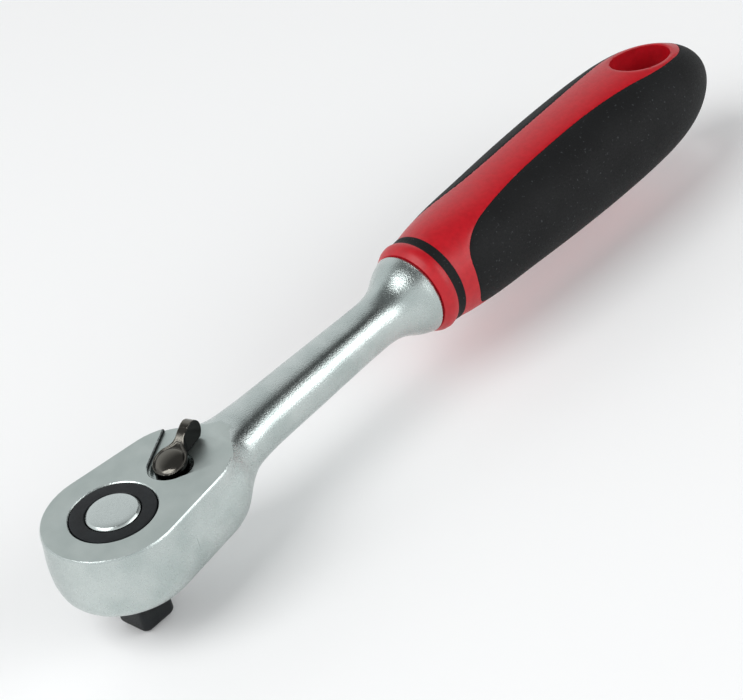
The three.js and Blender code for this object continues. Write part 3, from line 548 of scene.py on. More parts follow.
def square_drive():
    """The square, with a rounded chamfer at its end and a small fillet where it meets the hub."""
    chamfer = [(1.0, 0), (0.7, 0.16), (0.35, 0.5), (0.12, 0.9), (0, 1.3)]
    fillet = [(0, SQUARE_LENGTH - 0.8), (-0.15, SQUARE_LENGTH - 0.35), (-0.5, SQUARE_LENGTH + 0.1)]
    return loft("square", [square_outline(shrink, z) for shrink, z in chamfer + fillet])


def drive_hub():
    """Hub above and below the teeth, bored for the button and its pin."""
    profile = [(0.2, SQUARE_LENGTH), (LOWER_HUB_RADIUS, SQUARE_LENGTH), (LOWER_HUB_RADIUS, WHEEL_BOTTOM - 1),
               (LOWER_HUB_RADIUS, WHEEL_BOTTOM + 1), (HUB_RADIUS, WHEEL_TOP - 1), (HUB_RADIUS, HEAD_TOP),
               (0.2, HEAD_TOP)]
    hub = turned("drive_hub", rounded(profile, 0.25, closed=False))
    combine(hub, "UNION", square_drive())
    ball_hole = turned("ball_hole", [(1.7, 0.5), (1.7, SQUARE_HALF + 1)], steps=32)
    lie_along_x(ball_hole, BALL_Z)
    return combine(
        hub, "DIFFERENCE",
        bore("button_bore", BUTTON_RADIUS + BUTTON_GAP, HEAD_TOP - COUNTERBORE_DEPTH, HEAD_TOP, 0.2),
        turned("pin_bore", [(PIN_BORE, BALL_Z - 4.3), (PIN_BORE, HEAD_TOP)], steps=48),
        ball_hole,
    )


def tree_inputs(tree, sizes):
    """Names a Geometry Nodes tree's sizes and gives it a geometry output."""
    for name, value in sizes.items():
        kind = "NodeSocketInt" if isinstance(value, int) else "NodeSocketFloat"
        tree.interface.new_socket(name, in_out="INPUT", socket_type=kind)
    tree.interface.new_socket("Material", in_out="INPUT", socket_type="NodeSocketMaterial")
    tree.interface.new_socket("Geometry", in_out="OUTPUT", socket_type="NodeSocketGeometry")
    return tree.nodes.new("NodeGroupInput").outputs


def finish_tree(tree, geometry, material):
    """Ends a tree with real geometry and its material."""
    real = add_node(tree, "GeometryNodeRealizeInstances", {"Geometry": geometry})
    painted = add_node(tree, "GeometryNodeSetMaterial", {"Geometry": real.outputs[0], "Material": material})
    tree.links.new(painted.outputs[0], tree.nodes.new("NodeGroupOutput").inputs[0])


def grow(name, build, sizes, material):
    """Runs a Geometry Nodes tree with its sizes in millimetres and returns a plain mesh piece."""
    tree = bpy.data.node_groups.new(name, "GeometryNodeTree")
    build(tree, tree_inputs(tree, sizes))
    piece = bpy.data.objects.new(name, bpy.data.meshes.new(name))
    bpy.context.scene.collection.objects.link(piece)
    modifier = piece.modifiers.new(name, "NODES")
    modifier.node_group = tree
    values = dict(sizes, Material=material)
    for socket in tree.interface.items_tree:
        if socket.in_out == "INPUT":
            modifier[socket.identifier] = values[socket.name]
    settle(piece)
    piece.data.transform(Matrix.Scale(MM, 4))
    return piece


def teeth_tree(tree, sizes):
    """Three-sided teeth stood round the rim of a plain disc."""
    places = add_node(tree, "GeometryNodeMeshCircle", {"Vertices": sizes["Count"], "Radius": sizes["Rim"]})
    tooth = add_node(tree, "GeometryNodeMeshCylinder",
                     {"Vertices": 3, "Radius": sizes["Tooth"], "Depth": sizes["Height"]})
    index = add_node(tree, "GeometryNodeInputIndex").outputs[0]
    step = add_node(tree, "ShaderNodeMath", {0: 2 * math.pi, 1: sizes["Count"]}, operation="DIVIDE")
    angle = add_node(tree, "ShaderNodeMath", {0: index, 1: step.outputs[0]}, operation="MULTIPLY")
    turn = add_node(tree, "ShaderNodeCombineXYZ", {"Z": angle.outputs[0]})
    teeth = add_node(tree, "GeometryNodeInstanceOnPoints", {
        "Points": places.outputs[0], "Instance": tooth.outputs[0], "Rotation": turn.outputs[0]})
    disc = add_node(tree, "GeometryNodeMeshCylinder",
                    {"Vertices": 144, "Radius": sizes["Rim"], "Depth": sizes["Height"]})
    both = add_node(tree, "GeometryNodeJoinGeometry", {0: disc.outputs[0]})
    tree.links.new(teeth.outputs[0], both.inputs[0])
    lift = add_node(tree, "ShaderNodeCombineXYZ", {"Z": sizes["Middle"]})
    placed = add_node(tree, "GeometryNodeTransform",
                      {"Geometry": both.outputs[0], "Translation": lift.outputs[0]})
    finish_tree(tree, placed.outputs[0], sizes["Material"])


# Matt black phosphate: a soft crystalline coat that hardly shines, greyer where sockets rub it
def black_phosphate(tree):
    crystals = grain(tree, 0.3, detail=4)
    tone_factor = grain(tree, 2.5, detail=3)
    return add_node(tree, "ShaderNodeBsdfPrincipled", {
        "Base Color": blend_colours(tree, spread(tree, tone_factor, 0, 1, 0.4, 0.75), "#0B0F12", "#14191C"),
        "Metallic": 0.15,
        "Specular IOR Level": 0.35,
        "Roughness": spread(tree, crystals, 0.42, 0.58),
        "Normal": relief(tree, crystals, 0.02, 0.4),
    })


phosphate = surface("black_phosphate_on_steel", black_phosphate)
hub = drive_hub()
shade(hub, 24)
fit(hub, "drive", "black_phosphate_steel", "drive_gear", material=phosphate)

tooth_size = TOOTH_DEPTH / 1.5
teeth_sizes = {"Count": TOOTH_COUNT, "Rim": WHEEL_RADIUS - tooth_size, "Tooth": tooth_size,
               "Height": WHEEL_TOP - WHEEL_BOTTOM, "Middle": (WHEEL_TOP + WHEEL_BOTTOM) / 2}
teeth = grow("drive_teeth", teeth_tree, teeth_sizes, phosphate)
combine(teeth, "DIFFERENCE", bore("wheel_bore", BUTTON_RADIUS + 1, WHEEL_BOTTOM, WHEEL_TOP, 0.2))
fit(teeth, "drive", "black_phosphate_steel")


# ------------------------------------------------------------------ socket lock
# A hardened ball in the square holds the socket. A turned button in the hub pushes a necked pin down
# so that the ball can drop into the neck; a coil spring lifts the button again.

button_low, button_high = node_box("release_button")
PIN_SOCKET = 1.95


def release_button():
    """A plain turned cap, very slightly crowned, with a polished bevel and a socket underneath."""
    crown = [(1.5, button_high.z), (4, button_high.z - 0.02), (BUTTON_RADIUS - 0.75, button_high.z - 0.06),
             (BUTTON_RADIUS - 0.5, button_high.z - 0.1)]
    side = [(BUTTON_RADIUS - 0.08, button_high.z - 0.46), (BUTTON_RADIUS, button_high.z - 0.6),
            (BUTTON_RADIUS, button_low.z + 0.2), (BUTTON_RADIUS - 0.2, button_low.z)]
    cap = turned("release_cap", crown + side)
    return combine(cap, "DIFFERENCE", turned("pin_socket", [(PIN_SOCKET, button_low.z - 1),
                                                            (PIN_SOCKET, button_high.z - 1.05)], steps=48))


# Chrome on a turned face: the lathe leaves rings about 0.15 mm apart, drawn here at 0.3 mm so that
# they show, which draw the reflection out across the rings
def turned_chrome(tree):
    place = add_node(tree, "ShaderNodeTexCoord").outputs["Object"]
    flat = add_node(tree, "ShaderNodeMapping", {"Vector": place, "Scale": (1, 1, 0)}).outputs[0]
    scale = 1 / (0.3 * MM) / 20
    rings = add_node(tree, "ShaderNodeTexWave", {"Vector": flat, "Scale": scale, "Distortion": 0.3},
                     wave_type="RINGS", rings_direction="SPHERICAL").outputs["Fac"]
    fine = grain(tree, 0.35, detail=3)
    return add_node(tree, "ShaderNodeBsdfPrincipled", {
        "Base Color": linear("#C3CBC9"),
        "Metallic": 1.0,
        "Roughness": spread(tree, fine, 0.2, 0.32),
        "Normal": relief(tree, rings, 0.004, 0.4, relief(tree, fine, 0.01, 0.3)),
    })


button_cap = release_button()
shade(button_cap, 20)
fit(button_cap, "button", "satin_chrome", "release_button",
    material=surface("turned_chrome_plate", turned_chrome))


# Ground steel: bright, with a faint lay of grinding scratches
def ground_steel(tree):
    scratches = grain(tree, 0.3, detail=3, stretch=(1, 1, 0.15))
    return add_node(tree, "ShaderNodeBsdfPrincipled", {
        "Base Color": linear("#C6C8CA"),
        "Metallic": 1.0,
        "Roughness": spread(tree, scratches, 0.16, 0.3),
        "Normal": relief(tree, scratches, 0.005, 0.3),
    })


# Spring steel: blued in tempering, so grey with a cool cast, and drawn or rolled smooth
def tempered_steel(tree):
    tint = grain(tree, 1.5, detail=2)
    return add_node(tree, "ShaderNodeBsdfPrincipled", {
        "Base Color": blend_colours(tree, spread(tree, tint, 0, 1), "#63686E", "#7B7F86"),
        "Metallic": 1.0,
        "Roughness": spread(tree, grain(tree, 0.4), 0.26, 0.4),
    })


bright = surface("ground_bearing_steel", ground_steel)
spring_steel = surface("tempered_spring_steel", tempered_steel)


def arc_profile(radius, centre, start, end, steps):
    """(radius, z) points on an arc round the axis point at that height, angles in degrees."""
    angles = [math.radians(start + (end - start) * j / steps) for j in range(steps + 1)]
    return [(radius * math.cos(a), centre + radius * math.sin(a)) for a in angles]


ball_low, ball_high = node_box("socket_ball")
ball_radius = (ball_high.z - ball_low.z) / 2
ball_place = ((ball_high.x + ball_low.x) / 2, 0)
ball = turned("lock_ball", arc_profile(ball_radius, BALL_Z, -86, 86, 32), ball_place, steps=48)
shade(ball, 40)
fit(ball, "ball", "bright_steel", "socket_ball", material=bright)

pin_low, pin_high = node_box("release_pin")
pin_radius = pin_high.x
pin_waist = pin_radius - 0.7
pin_profile = [(0.2, pin_low.z), (pin_radius, pin_low.z), (pin_radius, BALL_Z), (pin_waist, BALL_Z + 2.4),
               (pin_waist, BALL_Z + 4.1), (pin_radius, BALL_Z + 4.8),
               (pin_radius, pin_high.z), (0.2, pin_high.z)]
pin = turned("lock_pin", rounded(pin_profile, 0.3, closed=False), steps=64)
shade(pin)
fit(pin, "button", "bright_steel", "release_pin", material=bright)


def dress(node, material):
    """Gives a CAD node that stays as it is a real finish."""
    part = frame["nodes"][node]
    part.data.materials.clear()
    part.data.materials.append(material)


dress("release_spring", spring_steel)


# ------------------------------------------------------------------ reversing lever
# An investment casting, polished and black nickel plated: a round boss with a crowned facet, a waist
# and a rounded thumb tab, on a stubby post that carries a sprung plunger. It swings in the milled recess.

LEVER_ANGLE = math.radians(14)
BOSS_RADIUS = 4.1
LEVER_REACH = 12.05
FIN_HALF_WIDTH = 1.25
TAB_HEIGHT = 4.8
LOBE_RADIUS = 3.05
RIM_WIDTH = 0.4
FACET_DEPTH = 0.22
CROWN_RADIUS = 3.45
CROWN_HEIGHT = 0.6
CROWN_TILT = math.radians(15)
BOSS_FLOOR = 1.85
TAB_FLOOR = 0.65
POST_RADIUS = 3
GROOVE_GAP = 0.12
PLUNGER_BORE = 1.25
plunger_low, plunger_high = node_box("pawl_plunger")
PLUNGER_Z = (plunger_low.z + plunger_high.z) / 2

# Top edge of the lever from the front of its boss to the thumb tab, as (x, height above the head's top)
LEVER_BACK = [(-4.2, 0.05), (-2, 0.6), (0, 1.1), (2, 1.65), (4.2, 2.45), (6.3, 3.9)]


def arc(centre, radius, start, end, steps):
    """Points on an arc in plan, angles in degrees."""
    angles = [math.radians(start + (end - start) * j / steps) for j in range(steps + 1)]
    return [(centre[0] + radius * math.cos(a), centre[1] + radius * math.sin(a)) for a in angles]


def bend(start, control, end, steps=12):
    """Points on a quadratic curve, without its first."""
    points = []
    for j in range(1, steps + 1):
        t = j / steps
        points.append(tuple((1 - t) ** 2 * a + 2 * t * (1 - t) * b + t * t * c
                            for a, b, c in zip(start, control, end)))
    return points


def lever_plan(inset):
    """The lever from above, drawn in by an inset: a boss that narrows like a teardrop into a fin."""
    boss = BOSS_RADIUS - inset
    waist = FIN_HALF_WIDTH - 0.15 - inset
    waist_x = BOSS_RADIUS + 1.7 - 3 * inset
    shoulder = 50
    boss_arc = arc((0, 0), boss, shoulder, 360 - shoulder, 72)
    turn = (boss_arc[-1][0] + 1.75, -waist)
    lower = bend(boss_arc[-1], turn, (waist_x, -waist))
    mirrored = [(x, -y) for x, y in lower[::-1]]
    if inset:
        return boss_arc + lower + mirrored
    far_x = LEVER_REACH + 1
    return boss_arc + lower + [(far_x, -FIN_HALF_WIDTH), (far_x, FIN_HALF_WIDTH)] + mirrored


def lever_side(drop=0):
    """The lever from the side, lowered by a drop, as (x, z): a rising back and a round lobe."""
    lobe = arc((LEVER_REACH - LOBE_RADIUS, TAB_HEIGHT - LOBE_RADIUS), LOBE_RADIUS, -50, 122, 48)
    foot = [(-BOSS_RADIUS - 1, -BOSS_FLOOR), (BOSS_RADIUS, -BOSS_FLOOR), (BOSS_RADIUS, -TAB_FLOOR),
            (lobe[0][0] - 0.8, -TAB_FLOOR)]
    knots = [(-BOSS_RADIUS - 1, LEVER_BACK[0][1])] + LEVER_BACK + [lobe[-1]]
    places = np.linspace(lobe[-1][0], -BOSS_RADIUS - 1, 40)[1:]
    back = [(x, z) for x, z in zip(places, curve(knots, places))]
    return [(x, HEAD_TOP + z - drop) for x, z in foot + lobe + back]


def lever_casting():
    """Boss and fin as cast and polished: a crowned facet inside a thin rim, and a fin that rises."""
    piece = loft("reversing_lever", [[(x, y, HEAD_TOP + z) for x, y in lever_plan(0)] for z in (-4, 8)])
    across = 3 * BOSS_RADIUS

    def side(drop):
        return loft("side", [[(x, y, z) for x, z in lever_side(drop)] for y in (-across, across)])

    combine(piece, "INTERSECT", side(0))
    facet = loft("facet", [[(x, y, HEAD_TOP + z) for x, y in lever_plan(RIM_WIDTH)] for z in (0, 6)])
    combine(facet, "DIFFERENCE", side(FACET_DEPTH))
    combine(piece, "DIFFERENCE", facet)
    crown = turned("crown", [(CROWN_RADIUS * math.cos(t), CROWN_HEIGHT * math.sin(t))
                             for t in np.linspace(-1.5, 1.55, 40)])
    crown.data.transform(Matrix.Translation((0, 0, (HEAD_TOP + LEVER_BACK[2][1] - FACET_DEPTH) * MM))
                         @ Matrix.Rotation(-CROWN_TILT, 4, "Y"))
    combine(piece, "UNION", crown)
    remesh = piece.modifiers.new("even", "REMESH")
    remesh.mode = "VOXEL"
    remesh.voxel_size = 0.09 * MM
    soften = piece.modifiers.new("polish", "SMOOTH")
    soften.factor = 0.5
    soften.iterations = 4
    settle(piece)
    return piece


def at_lever(piece):
    """Turns a piece made on Z to the lever's rest angle and stands it on the lever's axis."""
    piece.data.transform(Matrix.Translation((LEVER_X * MM, 0, 0)) @ Matrix.Rotation(LEVER_ANGLE, 4, "Z"))
    return piece


def lever_post():
    """The post under the boss, grooved for its seal and clip."""
    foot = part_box("reverse_lever")[0].z / MM
    seal_low, seal_high = (corner.z for corner in node_box("lever_seal"))
    clip_low, clip_high = (corner.z for corner in node_box("lever_clip"))
    profile = [(0.2, foot), (POST_RADIUS, foot)]
    for low, high, floor in ((clip_low, clip_high, 2.4), (seal_low, seal_high, 2.2)):
        low -= GROOVE_GAP
        high += GROOVE_GAP
        profile += [(POST_RADIUS, low), (floor, low), (floor, high), (POST_RADIUS, high)]
    top = HEAD_TOP - BOSS_FLOOR + 0.4
    return turned("post", rounded(profile + [(POST_RADIUS, top), (0.2, top)], 0.12, closed=False), steps=96)


# Polished black nickel: a smoky dark mirror, with painted light and shade in its colour: a lighter warm grey
# painted on faces that point up and a darker one on its sides, with a little random patchiness
def black_nickel(tree):
    patchy = grain(tree, 1.2, detail=3)
    fine = grain(tree, 0.4, detail=2)
    normal = add_node(tree, "ShaderNodeNewGeometry").outputs["Normal"]
    upward = add_node(tree, "ShaderNodeSeparateXYZ", {"Vector": normal}).outputs["Z"]
    uneven = spread(tree, patchy, -0.1, 0.1)
    # Painted light and shade: the colour lightens as a face turns upwards
    tone_factor = add_node(tree, "ShaderNodeMath", {0: upward, 1: uneven}, operation="ADD")
    painted_top_light = spread(tree, tone_factor.outputs[0], 0, 1, 0.25, 0.8)
    return add_node(tree, "ShaderNodeBsdfPrincipled", {
        "Base Color": blend_colours(tree, painted_top_light, "#242423", "#696761"),
        "Metallic": 1.0,
        "Roughness": spread(tree, fine, 0.09, 0.16),
        "Normal": relief(tree, fine, 0.01, 0.25),
    })


lever = lever_casting()
combine(lever, "UNION", lever_post())
bore_ends = [(PLUNGER_BORE, -POST_RADIUS - 1), (PLUNGER_BORE, POST_RADIUS - 1)]
plunger_bore = turned("plunger_bore", bore_ends, steps=48)
lie_along_x(plunger_bore, PLUNGER_Z)
combine(lever, "DIFFERENCE", plunger_bore)
at_lever(lever)
shade(lever, 34)
fit(lever, "lever", "dark_nickel", "reverse_lever", material=surface("black_nickel_plate", black_nickel))

plunger_length = 3.1
plunger_front = -POST_RADIUS - 0.9
plunger_profile = arc_profile(1.1, plunger_front + 1.1, -84, 0, 12) + [(1.1, plunger_front + plunger_length)]
plunger = turned("nose_plunger", plunger_profile, steps=48)
lie_along_x(plunger, PLUNGER_Z)
at_lever(plunger)
shade(plunger)
fit(plunger, "plunger", "bright_steel", "pawl_plunger", material=bright)


def coil_tree(tree, sizes):
    """A round wire swept along a helix."""
    path = add_node(tree, "GeometryNodeCurveSpiral", {
        "Resolution": 32, "Rotations": sizes["Turns"], "Start Radius": sizes["Radius"],
        "End Radius": sizes["Radius"], "Height": sizes["Height"]})
    wire = add_node(tree, "GeometryNodeCurvePrimitiveCircle", {"Resolution": 12, "Radius": sizes["Wire"]})
    swept = add_node(tree, "GeometryNodeCurveToMesh", {
        "Curve": path.outputs[0], "Profile Curve": wire.outputs[0], "Fill Caps": True})
    finish_tree(tree, swept.outputs[0], sizes["Material"])


PLUNGER_TRAVEL = 0.8
COIL_WIRE = 0.14
spring_start = plunger_front + plunger_length + PLUNGER_TRAVEL + 1.5 * COIL_WIRE
spring_length = POST_RADIUS - 1 - 1.5 * COIL_WIRE - spring_start
coil_sizes = {"Turns": 4.0, "Radius": 0.75, "Height": spring_length, "Wire": COIL_WIRE}
plunger_spring = grow("plunger_coil", coil_tree, coil_sizes, spring_steel)
plunger_spring.data.transform(Matrix.Translation((0, 0, spring_start * MM)))
lie_along_x(plunger_spring, PLUNGER_Z)
at_lever(plunger_spring)
shade(plunger_spring, 60)
fit(plunger_spring, "lever", "spring_steel", "plunger_spring")


def refined(name, node, width):
    """A copy of a CAD node with merged faces and small bevels on its edges."""
    mesh = frame["nodes"][node].data.copy()
    form = bmesh.new()
    form.from_mesh(mesh)
    bmesh.ops.remove_doubles(form, verts=form.verts, dist=1e-6)
    bmesh.ops.dissolve_limit(form, angle_limit=math.radians(1), verts=form.verts, edges=form.edges)
    form.to_mesh(mesh)
    form.free()
    piece = bpy.data.objects.new(name, mesh)
    bpy.context.scene.collection.objects.link(piece)
    bevel = piece.modifiers.new("bevel", "BEVEL")
    bevel.width = width * MM
    bevel.segments = 2
    bevel.limit_method = "ANGLE"
    bevel.angle_limit = math.radians(35)
    settle(piece)
    shade(piece, 35)
    return piece


fit(refined("lever_snap_ring", "lever_clip", 0.06), "lever", "spring_steel", "lever_clip",
    material=spring_steel)


# ------------------------------------------------------------------ pawl
# One double-ended pawl, broached with teeth at both ends and case hardened. The lever's plunger tips
# it one way or the other, which sets the direction that drives.

# Hardened and tumbled steel: grey with a soft, uneven shine
def tumbled_steel(tree):
    patches = grain(tree, 1.1, detail=3)
    return add_node(tree, "ShaderNodeBsdfPrincipled", {
        "Base Color": blend_colours(tree, spread(tree, patches, 0, 1), "#85888A", "#A2A4A4"),
        "Metallic": 1.0,
        "Roughness": spread(tree, patches, 0.3, 0.48),
    })


fit(refined("toothed_pawl", "pawl", 0.05), "pawl", "hardened_steel", "pawl",
    material=surface("tumbled_hard_steel", tumbled_steel))


# ------------------------------------------------------------------ seals
# Three moulded nitrile rings keep grit out: round the hub above and below the teeth, and round the
# lever's post.

# Nitrile rubber: matt, nearly black, a little dusty
def nitrile(tree):
    dust = grain(tree, 0.6, detail=4)
    return add_node(tree, "ShaderNodeBsdfPrincipled", {
        "Base Color": blend_colours(tree, spread(tree, dust, 0, 1), "#151515", "#232323"),
        "Roughness": spread(tree, dust, 0.6, 0.8),
    })


rubber_ring = surface("nitrile_rubber", nitrile)
seals = [("hub_ring", "hub_seal", "drive", (0, 0)), ("cover_ring", "cover_seal", "drive", (0, 0)),
         ("post_ring", "lever_seal", "lever", (LEVER_X, 0))]
for name, node, body, centre in seals:
    low, high = node_box(node)
    section = 0.45 if body == "drive" else 0.4
    major = high.y - section
    ring_z = (low.z + high.z) / 2
    section_points = arc((major, ring_z), section, 0, 360, 16)[:-1]
    seal = turned(name, section_points, centre, closed=True)
    shade(seal, 60)
    fit(seal, body, "seal_rubber", node, material=rubber_ring)


# ------------------------------------------------------------------ bottom closure
# A waved friction washer, a pressed cover plate and a stamped retaining ring close the head from
# below. The ring springs into a groove and has two eyes for pliers.

cover_low, cover_high = node_box("cover_plate")
HUB_CLEAR = LOWER_HUB_RADIUS + 0.25
cover_profile = [(HUB_CLEAR, cover_low.z), (cover_high.x, cover_low.z), (cover_high.x, cover_high.z),
                 (HUB_CLEAR, cover_high.z)]
cover = turned("bottom_cover", rounded(cover_profile, 0.25), closed=True)
shade(cover)
fit(cover, "handle", "satin_chrome", "cover_plate", material=chrome)

ring_low, ring_high = node_box("retaining_ring")
RING_OUTER = cover_high.x + 0.5
RING_INNER = RING_OUTER - 1.5
EYE_ANGLE = math.radians(11)


def block(name, low, high):
    """A plain box between two corners."""
    (x0, y0, z0), (x1, y1, z1) = low, high
    return loft(name, [[(x0, y0, z), (x1, y0, z), (x1, y1, z), (x0, y1, z)] for z in (z0, z1)])


def retaining_ring():
    """A stamped ring with a mouth and two pierced eyes."""
    profile = [(RING_INNER, ring_low.z), (RING_OUTER, ring_low.z), (RING_OUTER, ring_high.z),
               (RING_INNER, ring_high.z)]
    ring = turned("snap_ring", rounded(profile, 0.1, steps=2), closed=True)
    mouth = block("mouth", (-RING_OUTER - 1, -1.1, ring_low.z - 1), (0, 1.1, ring_high.z + 1))
    combine(ring, "DIFFERENCE", mouth)
    for side in (-1, 1):
        angle = math.pi + side * EYE_ANGLE
        centre = ((RING_INNER + 0.1) * math.cos(angle), (RING_INNER + 0.1) * math.sin(angle))
        eye = [(0.1, ring_low.z), (1.15, ring_low.z), (1.15, ring_high.z), (0.1, ring_high.z)]
        combine(ring, "UNION", turned("eye", rounded(eye, 0.1, closed=False, steps=2), centre, steps=48))
        hole = [(0.5, ring_low.z - 1), (0.5, ring_high.z + 1)]
        combine(ring, "DIFFERENCE", turned("hole", hole, centre, steps=32))
    return ring


snap_ring = retaining_ring()
shade(snap_ring)
fit(snap_ring, "handle", "spring_steel", "retaining_ring", material=spring_steel)


def waved_washer():
    """A thin ring bent into three waves."""
    low, high = node_box("friction_washer")
    wave = 0.18
    middle = (low.z + high.z) / 2
    half = (high.z - low.z) / 2 - wave
    outer = high.x
    section = rounded([(HUB_CLEAR, -half), (outer, -half), (outer, half), (HUB_CLEAR, half)], 0.08, steps=2)
    rings = []
    for j in range(144):
        angle = 2 * math.pi * j / 144
        lift = middle + wave * math.sin(3 * angle)
        rings.append([(r * math.cos(angle), r * math.sin(angle), lift + z) for r, z in section])
    return loft("waved_spring_washer", rings, closed=True)


washer = waved_washer()
shade(washer)
fit(washer, "handle", "spring_steel", "friction_washer", material=spring_steel)


# ------------------------------------------------------------------ grip
# A hard red polypropylene core is moulded over the tang, then a soft black elastomer is moulded over
# it: a narrow band behind the collar, and panels that wrap the sides and the end.

GRIP_WIDEN = 0.085
GRIP_FLATTEN = 0.067
OVAL_START = 6
OVAL_LENGTH = 24
BAND_START = 4
BAND_WIDTH = 2.6
BAND_DEPTH = 1.2
OVERMOULD_DEPTH = 1.8
PANEL_START = 11
HOLE_PLACE = 92.3
HOLE_LENGTH = 18.5
HOLE_WIDTH = 12
GRIP_END = 111.1
SEAM = 0.05

# Round-equivalent radius of the grip at distances behind the collar
GRIP_PROFILE = [(GRIP_GAP, 10.6), (0.9, 11.1), (1.8, 11.65), (2.8, 11.95), (3.6, 11.9), (4, 11.75),
                (6.6, 11.75), (11, 12.45), (19, 13.3), (31, 13.9), (48, 14.7), (65, 15.05), (79, 14.85),
                (85, 14.5), (89, 14.05), (93, 13.35), (96.6, 12.4), (100.4, 11), (104.3, 9.0),
                (108, 6.2), (110.1, 3.4), (GRIP_END, 0)]

# Half-width of the red stripe on the top and the underside, seen from above
STRIPE = [(5, 20), (10, 15), (11.1, 11.8), (12.4, 10.3), (14.3, 9.2), (17.8, 7.9), (24.8, 6.5), (34.8, 5.5),
          (48.8, 5.3), (66.8, 5.7), (78.8, 6.7), (87.8, 7.6), (92.8, 7.4), (96.8, 6.6), (100.8, 5.2),
          (103.3, 3.5), (104.8, 1.8), (105.8, 0.4)]


def grip_radius(along):
    """Radius of the grip at a distance behind the collar. Its square is what runs smoothly."""
    squares = [(place, radius * radius) for place, radius in GRIP_PROFILE]
    return np.sqrt(np.clip(curve(squares, along), 0, None))


def grip_skin(name, inset, start, end, spacing, around):
    """The grip's outer body drawn in by an inset, between two distances behind the collar."""
    count = round((end - start) / spacing)
    places = [start + (end - start) * math.sin(math.pi / 2 * j / count) for j in range(count)]
    if end < GRIP_END:
        places = list(np.linspace(start, end, count + 1))
    rings = []
    for along in places:
        radius = float(grip_radius(along)) - inset
        t = min(max((along - OVAL_START) / OVAL_LENGTH, 0), 1)
        oval = t * t * (3 - 2 * t)
        if radius < 0.3:
            break
        angles = [2 * math.pi * j / around for j in range(around)]
        rings.append([(COLLAR_X + along, radius * (1 + GRIP_WIDEN * oval) * math.cos(a),
                       SHANK_Z + radius * (1 - GRIP_FLATTEN * oval) * math.sin(a)) for a in angles])
    return loft(name, rings)


def stripe_edge(offset):
    """Far edge of the stripe in plan, moved away from the middle by an offset."""
    places = np.concatenate([np.linspace(STRIPE[0][0], 17, 30), np.linspace(17.8, 98, 60),
                             np.linspace(98.4, STRIPE[-1][0], 26)])
    edge = np.stack([COLLAR_X + places, curve(STRIPE, places)], axis=1)
    slope = np.gradient(edge, axis=0)
    slope /= np.linalg.norm(slope, axis=1)[:, None]
    return edge + offset * np.stack([-slope[:, 1], slope[:, 0]], axis=1)


def stripe_cutter(offset):
    """An upright prism over the stripe's plan."""
    far = stripe_edge(offset)
    outline = [(x, -y) for x, y in far] + [(x, y) for x, y in far[::-1]]
    return loft("stripe", [[(x, y, SHANK_Z + z) for x, y in outline] for z in (-30, 30)])


def panel_blank(name, outside, depth, seam, spacing, around):
    """Everything outside the hard core's stripes and within a depth of the grip's surface."""
    blank = grip_skin(name, -outside, PANEL_START - 3, GRIP_END, spacing, around)
    inner = grip_skin("inner", depth, PANEL_START - 5, GRIP_END, 1.2, 96)
    return combine(blank, "DIFFERENCE", inner, stripe_cutter(seam))


def hang_hole_outline(grow, z):
    """The hanging hole in plan."""
    angles = [2 * math.pi * j / 96 for j in range(96)]
    return [(COLLAR_X + HOLE_PLACE + (HOLE_LENGTH / 2 + grow) * math.cos(a),
             (HOLE_WIDTH / 2 + grow) * math.sin(a), z) for a in angles]


def hang_hole():
    """The hanging hole, waisted in the middle where the two halves of the mould meet."""
    return loft("hang_hole", [hang_hole_outline(0.25 * (z / 14) ** 2, SHANK_Z + z)
                              for z in np.linspace(-28, 28, 29)])


def near_hole(x, y):
    """Distance outside the hanging hole's edge, in plan."""
    u = (x - COLLAR_X - HOLE_PLACE) / (HOLE_LENGTH / 2)
    v = y / (HOLE_WIDTH / 2)
    share = np.hypot(u, v)
    away = np.hypot(u * HOLE_LENGTH / 2, v * HOLE_WIDTH / 2)
    return (share - 1) * away / np.maximum(share, 1e-6)


def near_stripe(x, y):
    """Distance from the stripe's edge, in plan."""
    edge = stripe_edge(0)
    gaps = np.hypot(x[:, None] - edge[None, :, 0], np.abs(y)[:, None] - edge[None, :, 1])
    return gaps.min(axis=1)


def ease_edge(piece, distance, radius, drop):
    """Rounds the grip's surface down towards an edge that lies at no distance."""
    count = len(piece.data.vertices)
    points = np.empty(count * 3)
    piece.data.vertices.foreach_get("co", points)
    points = points.reshape(-1, 3) / MM
    along = points[:, 0] - COLLAR_X
    t = np.clip((along - OVAL_START) / OVAL_LENGTH, 0, 1)
    oval = t * t * (3 - 2 * t)
    y = points[:, 1]
    z = points[:, 2] - SHANK_Z
    reach = np.hypot(y / (1 + GRIP_WIDEN * oval), z / (1 - GRIP_FLATTEN * oval))
    outer = reach > grip_radius(along) - 0.05
    gap = np.clip(distance(points[:, 0], y) / radius, 0, 1)
    fall = np.where(outer, drop * (1 - np.sqrt(1 - (1 - gap) ** 2)), 0)
    scale = 1 - fall / np.maximum(np.hypot(y, z), 1)
    points[:, 1] = y * scale
    points[:, 2] = SHANK_Z + z * scale
    piece.data.vertices.foreach_set("co", (points * MM).ravel())
    piece.data.update()


# Moulded polypropylene: an even satin red, with the faint orange-peel of the mould's surface
def red_polypropylene(tree):
    peel = grain(tree, 1.3, detail=2)
    fine = grain(tree, 0.35, detail=2)
    return add_node(tree, "ShaderNodeBsdfPrincipled", {
        "Base Color": blend_colours(tree, spread(tree, peel, 0, 1), "#AE0D1B", "#B8111E"),
        "Roughness": spread(tree, fine, 0.34, 0.44),
        "IOR": 1.49,
        "Specular IOR Level": 0.45,
        "Normal": relief(tree, fine, 0.012, 0.3, relief(tree, peel, 0.02, 0.25)),
    })


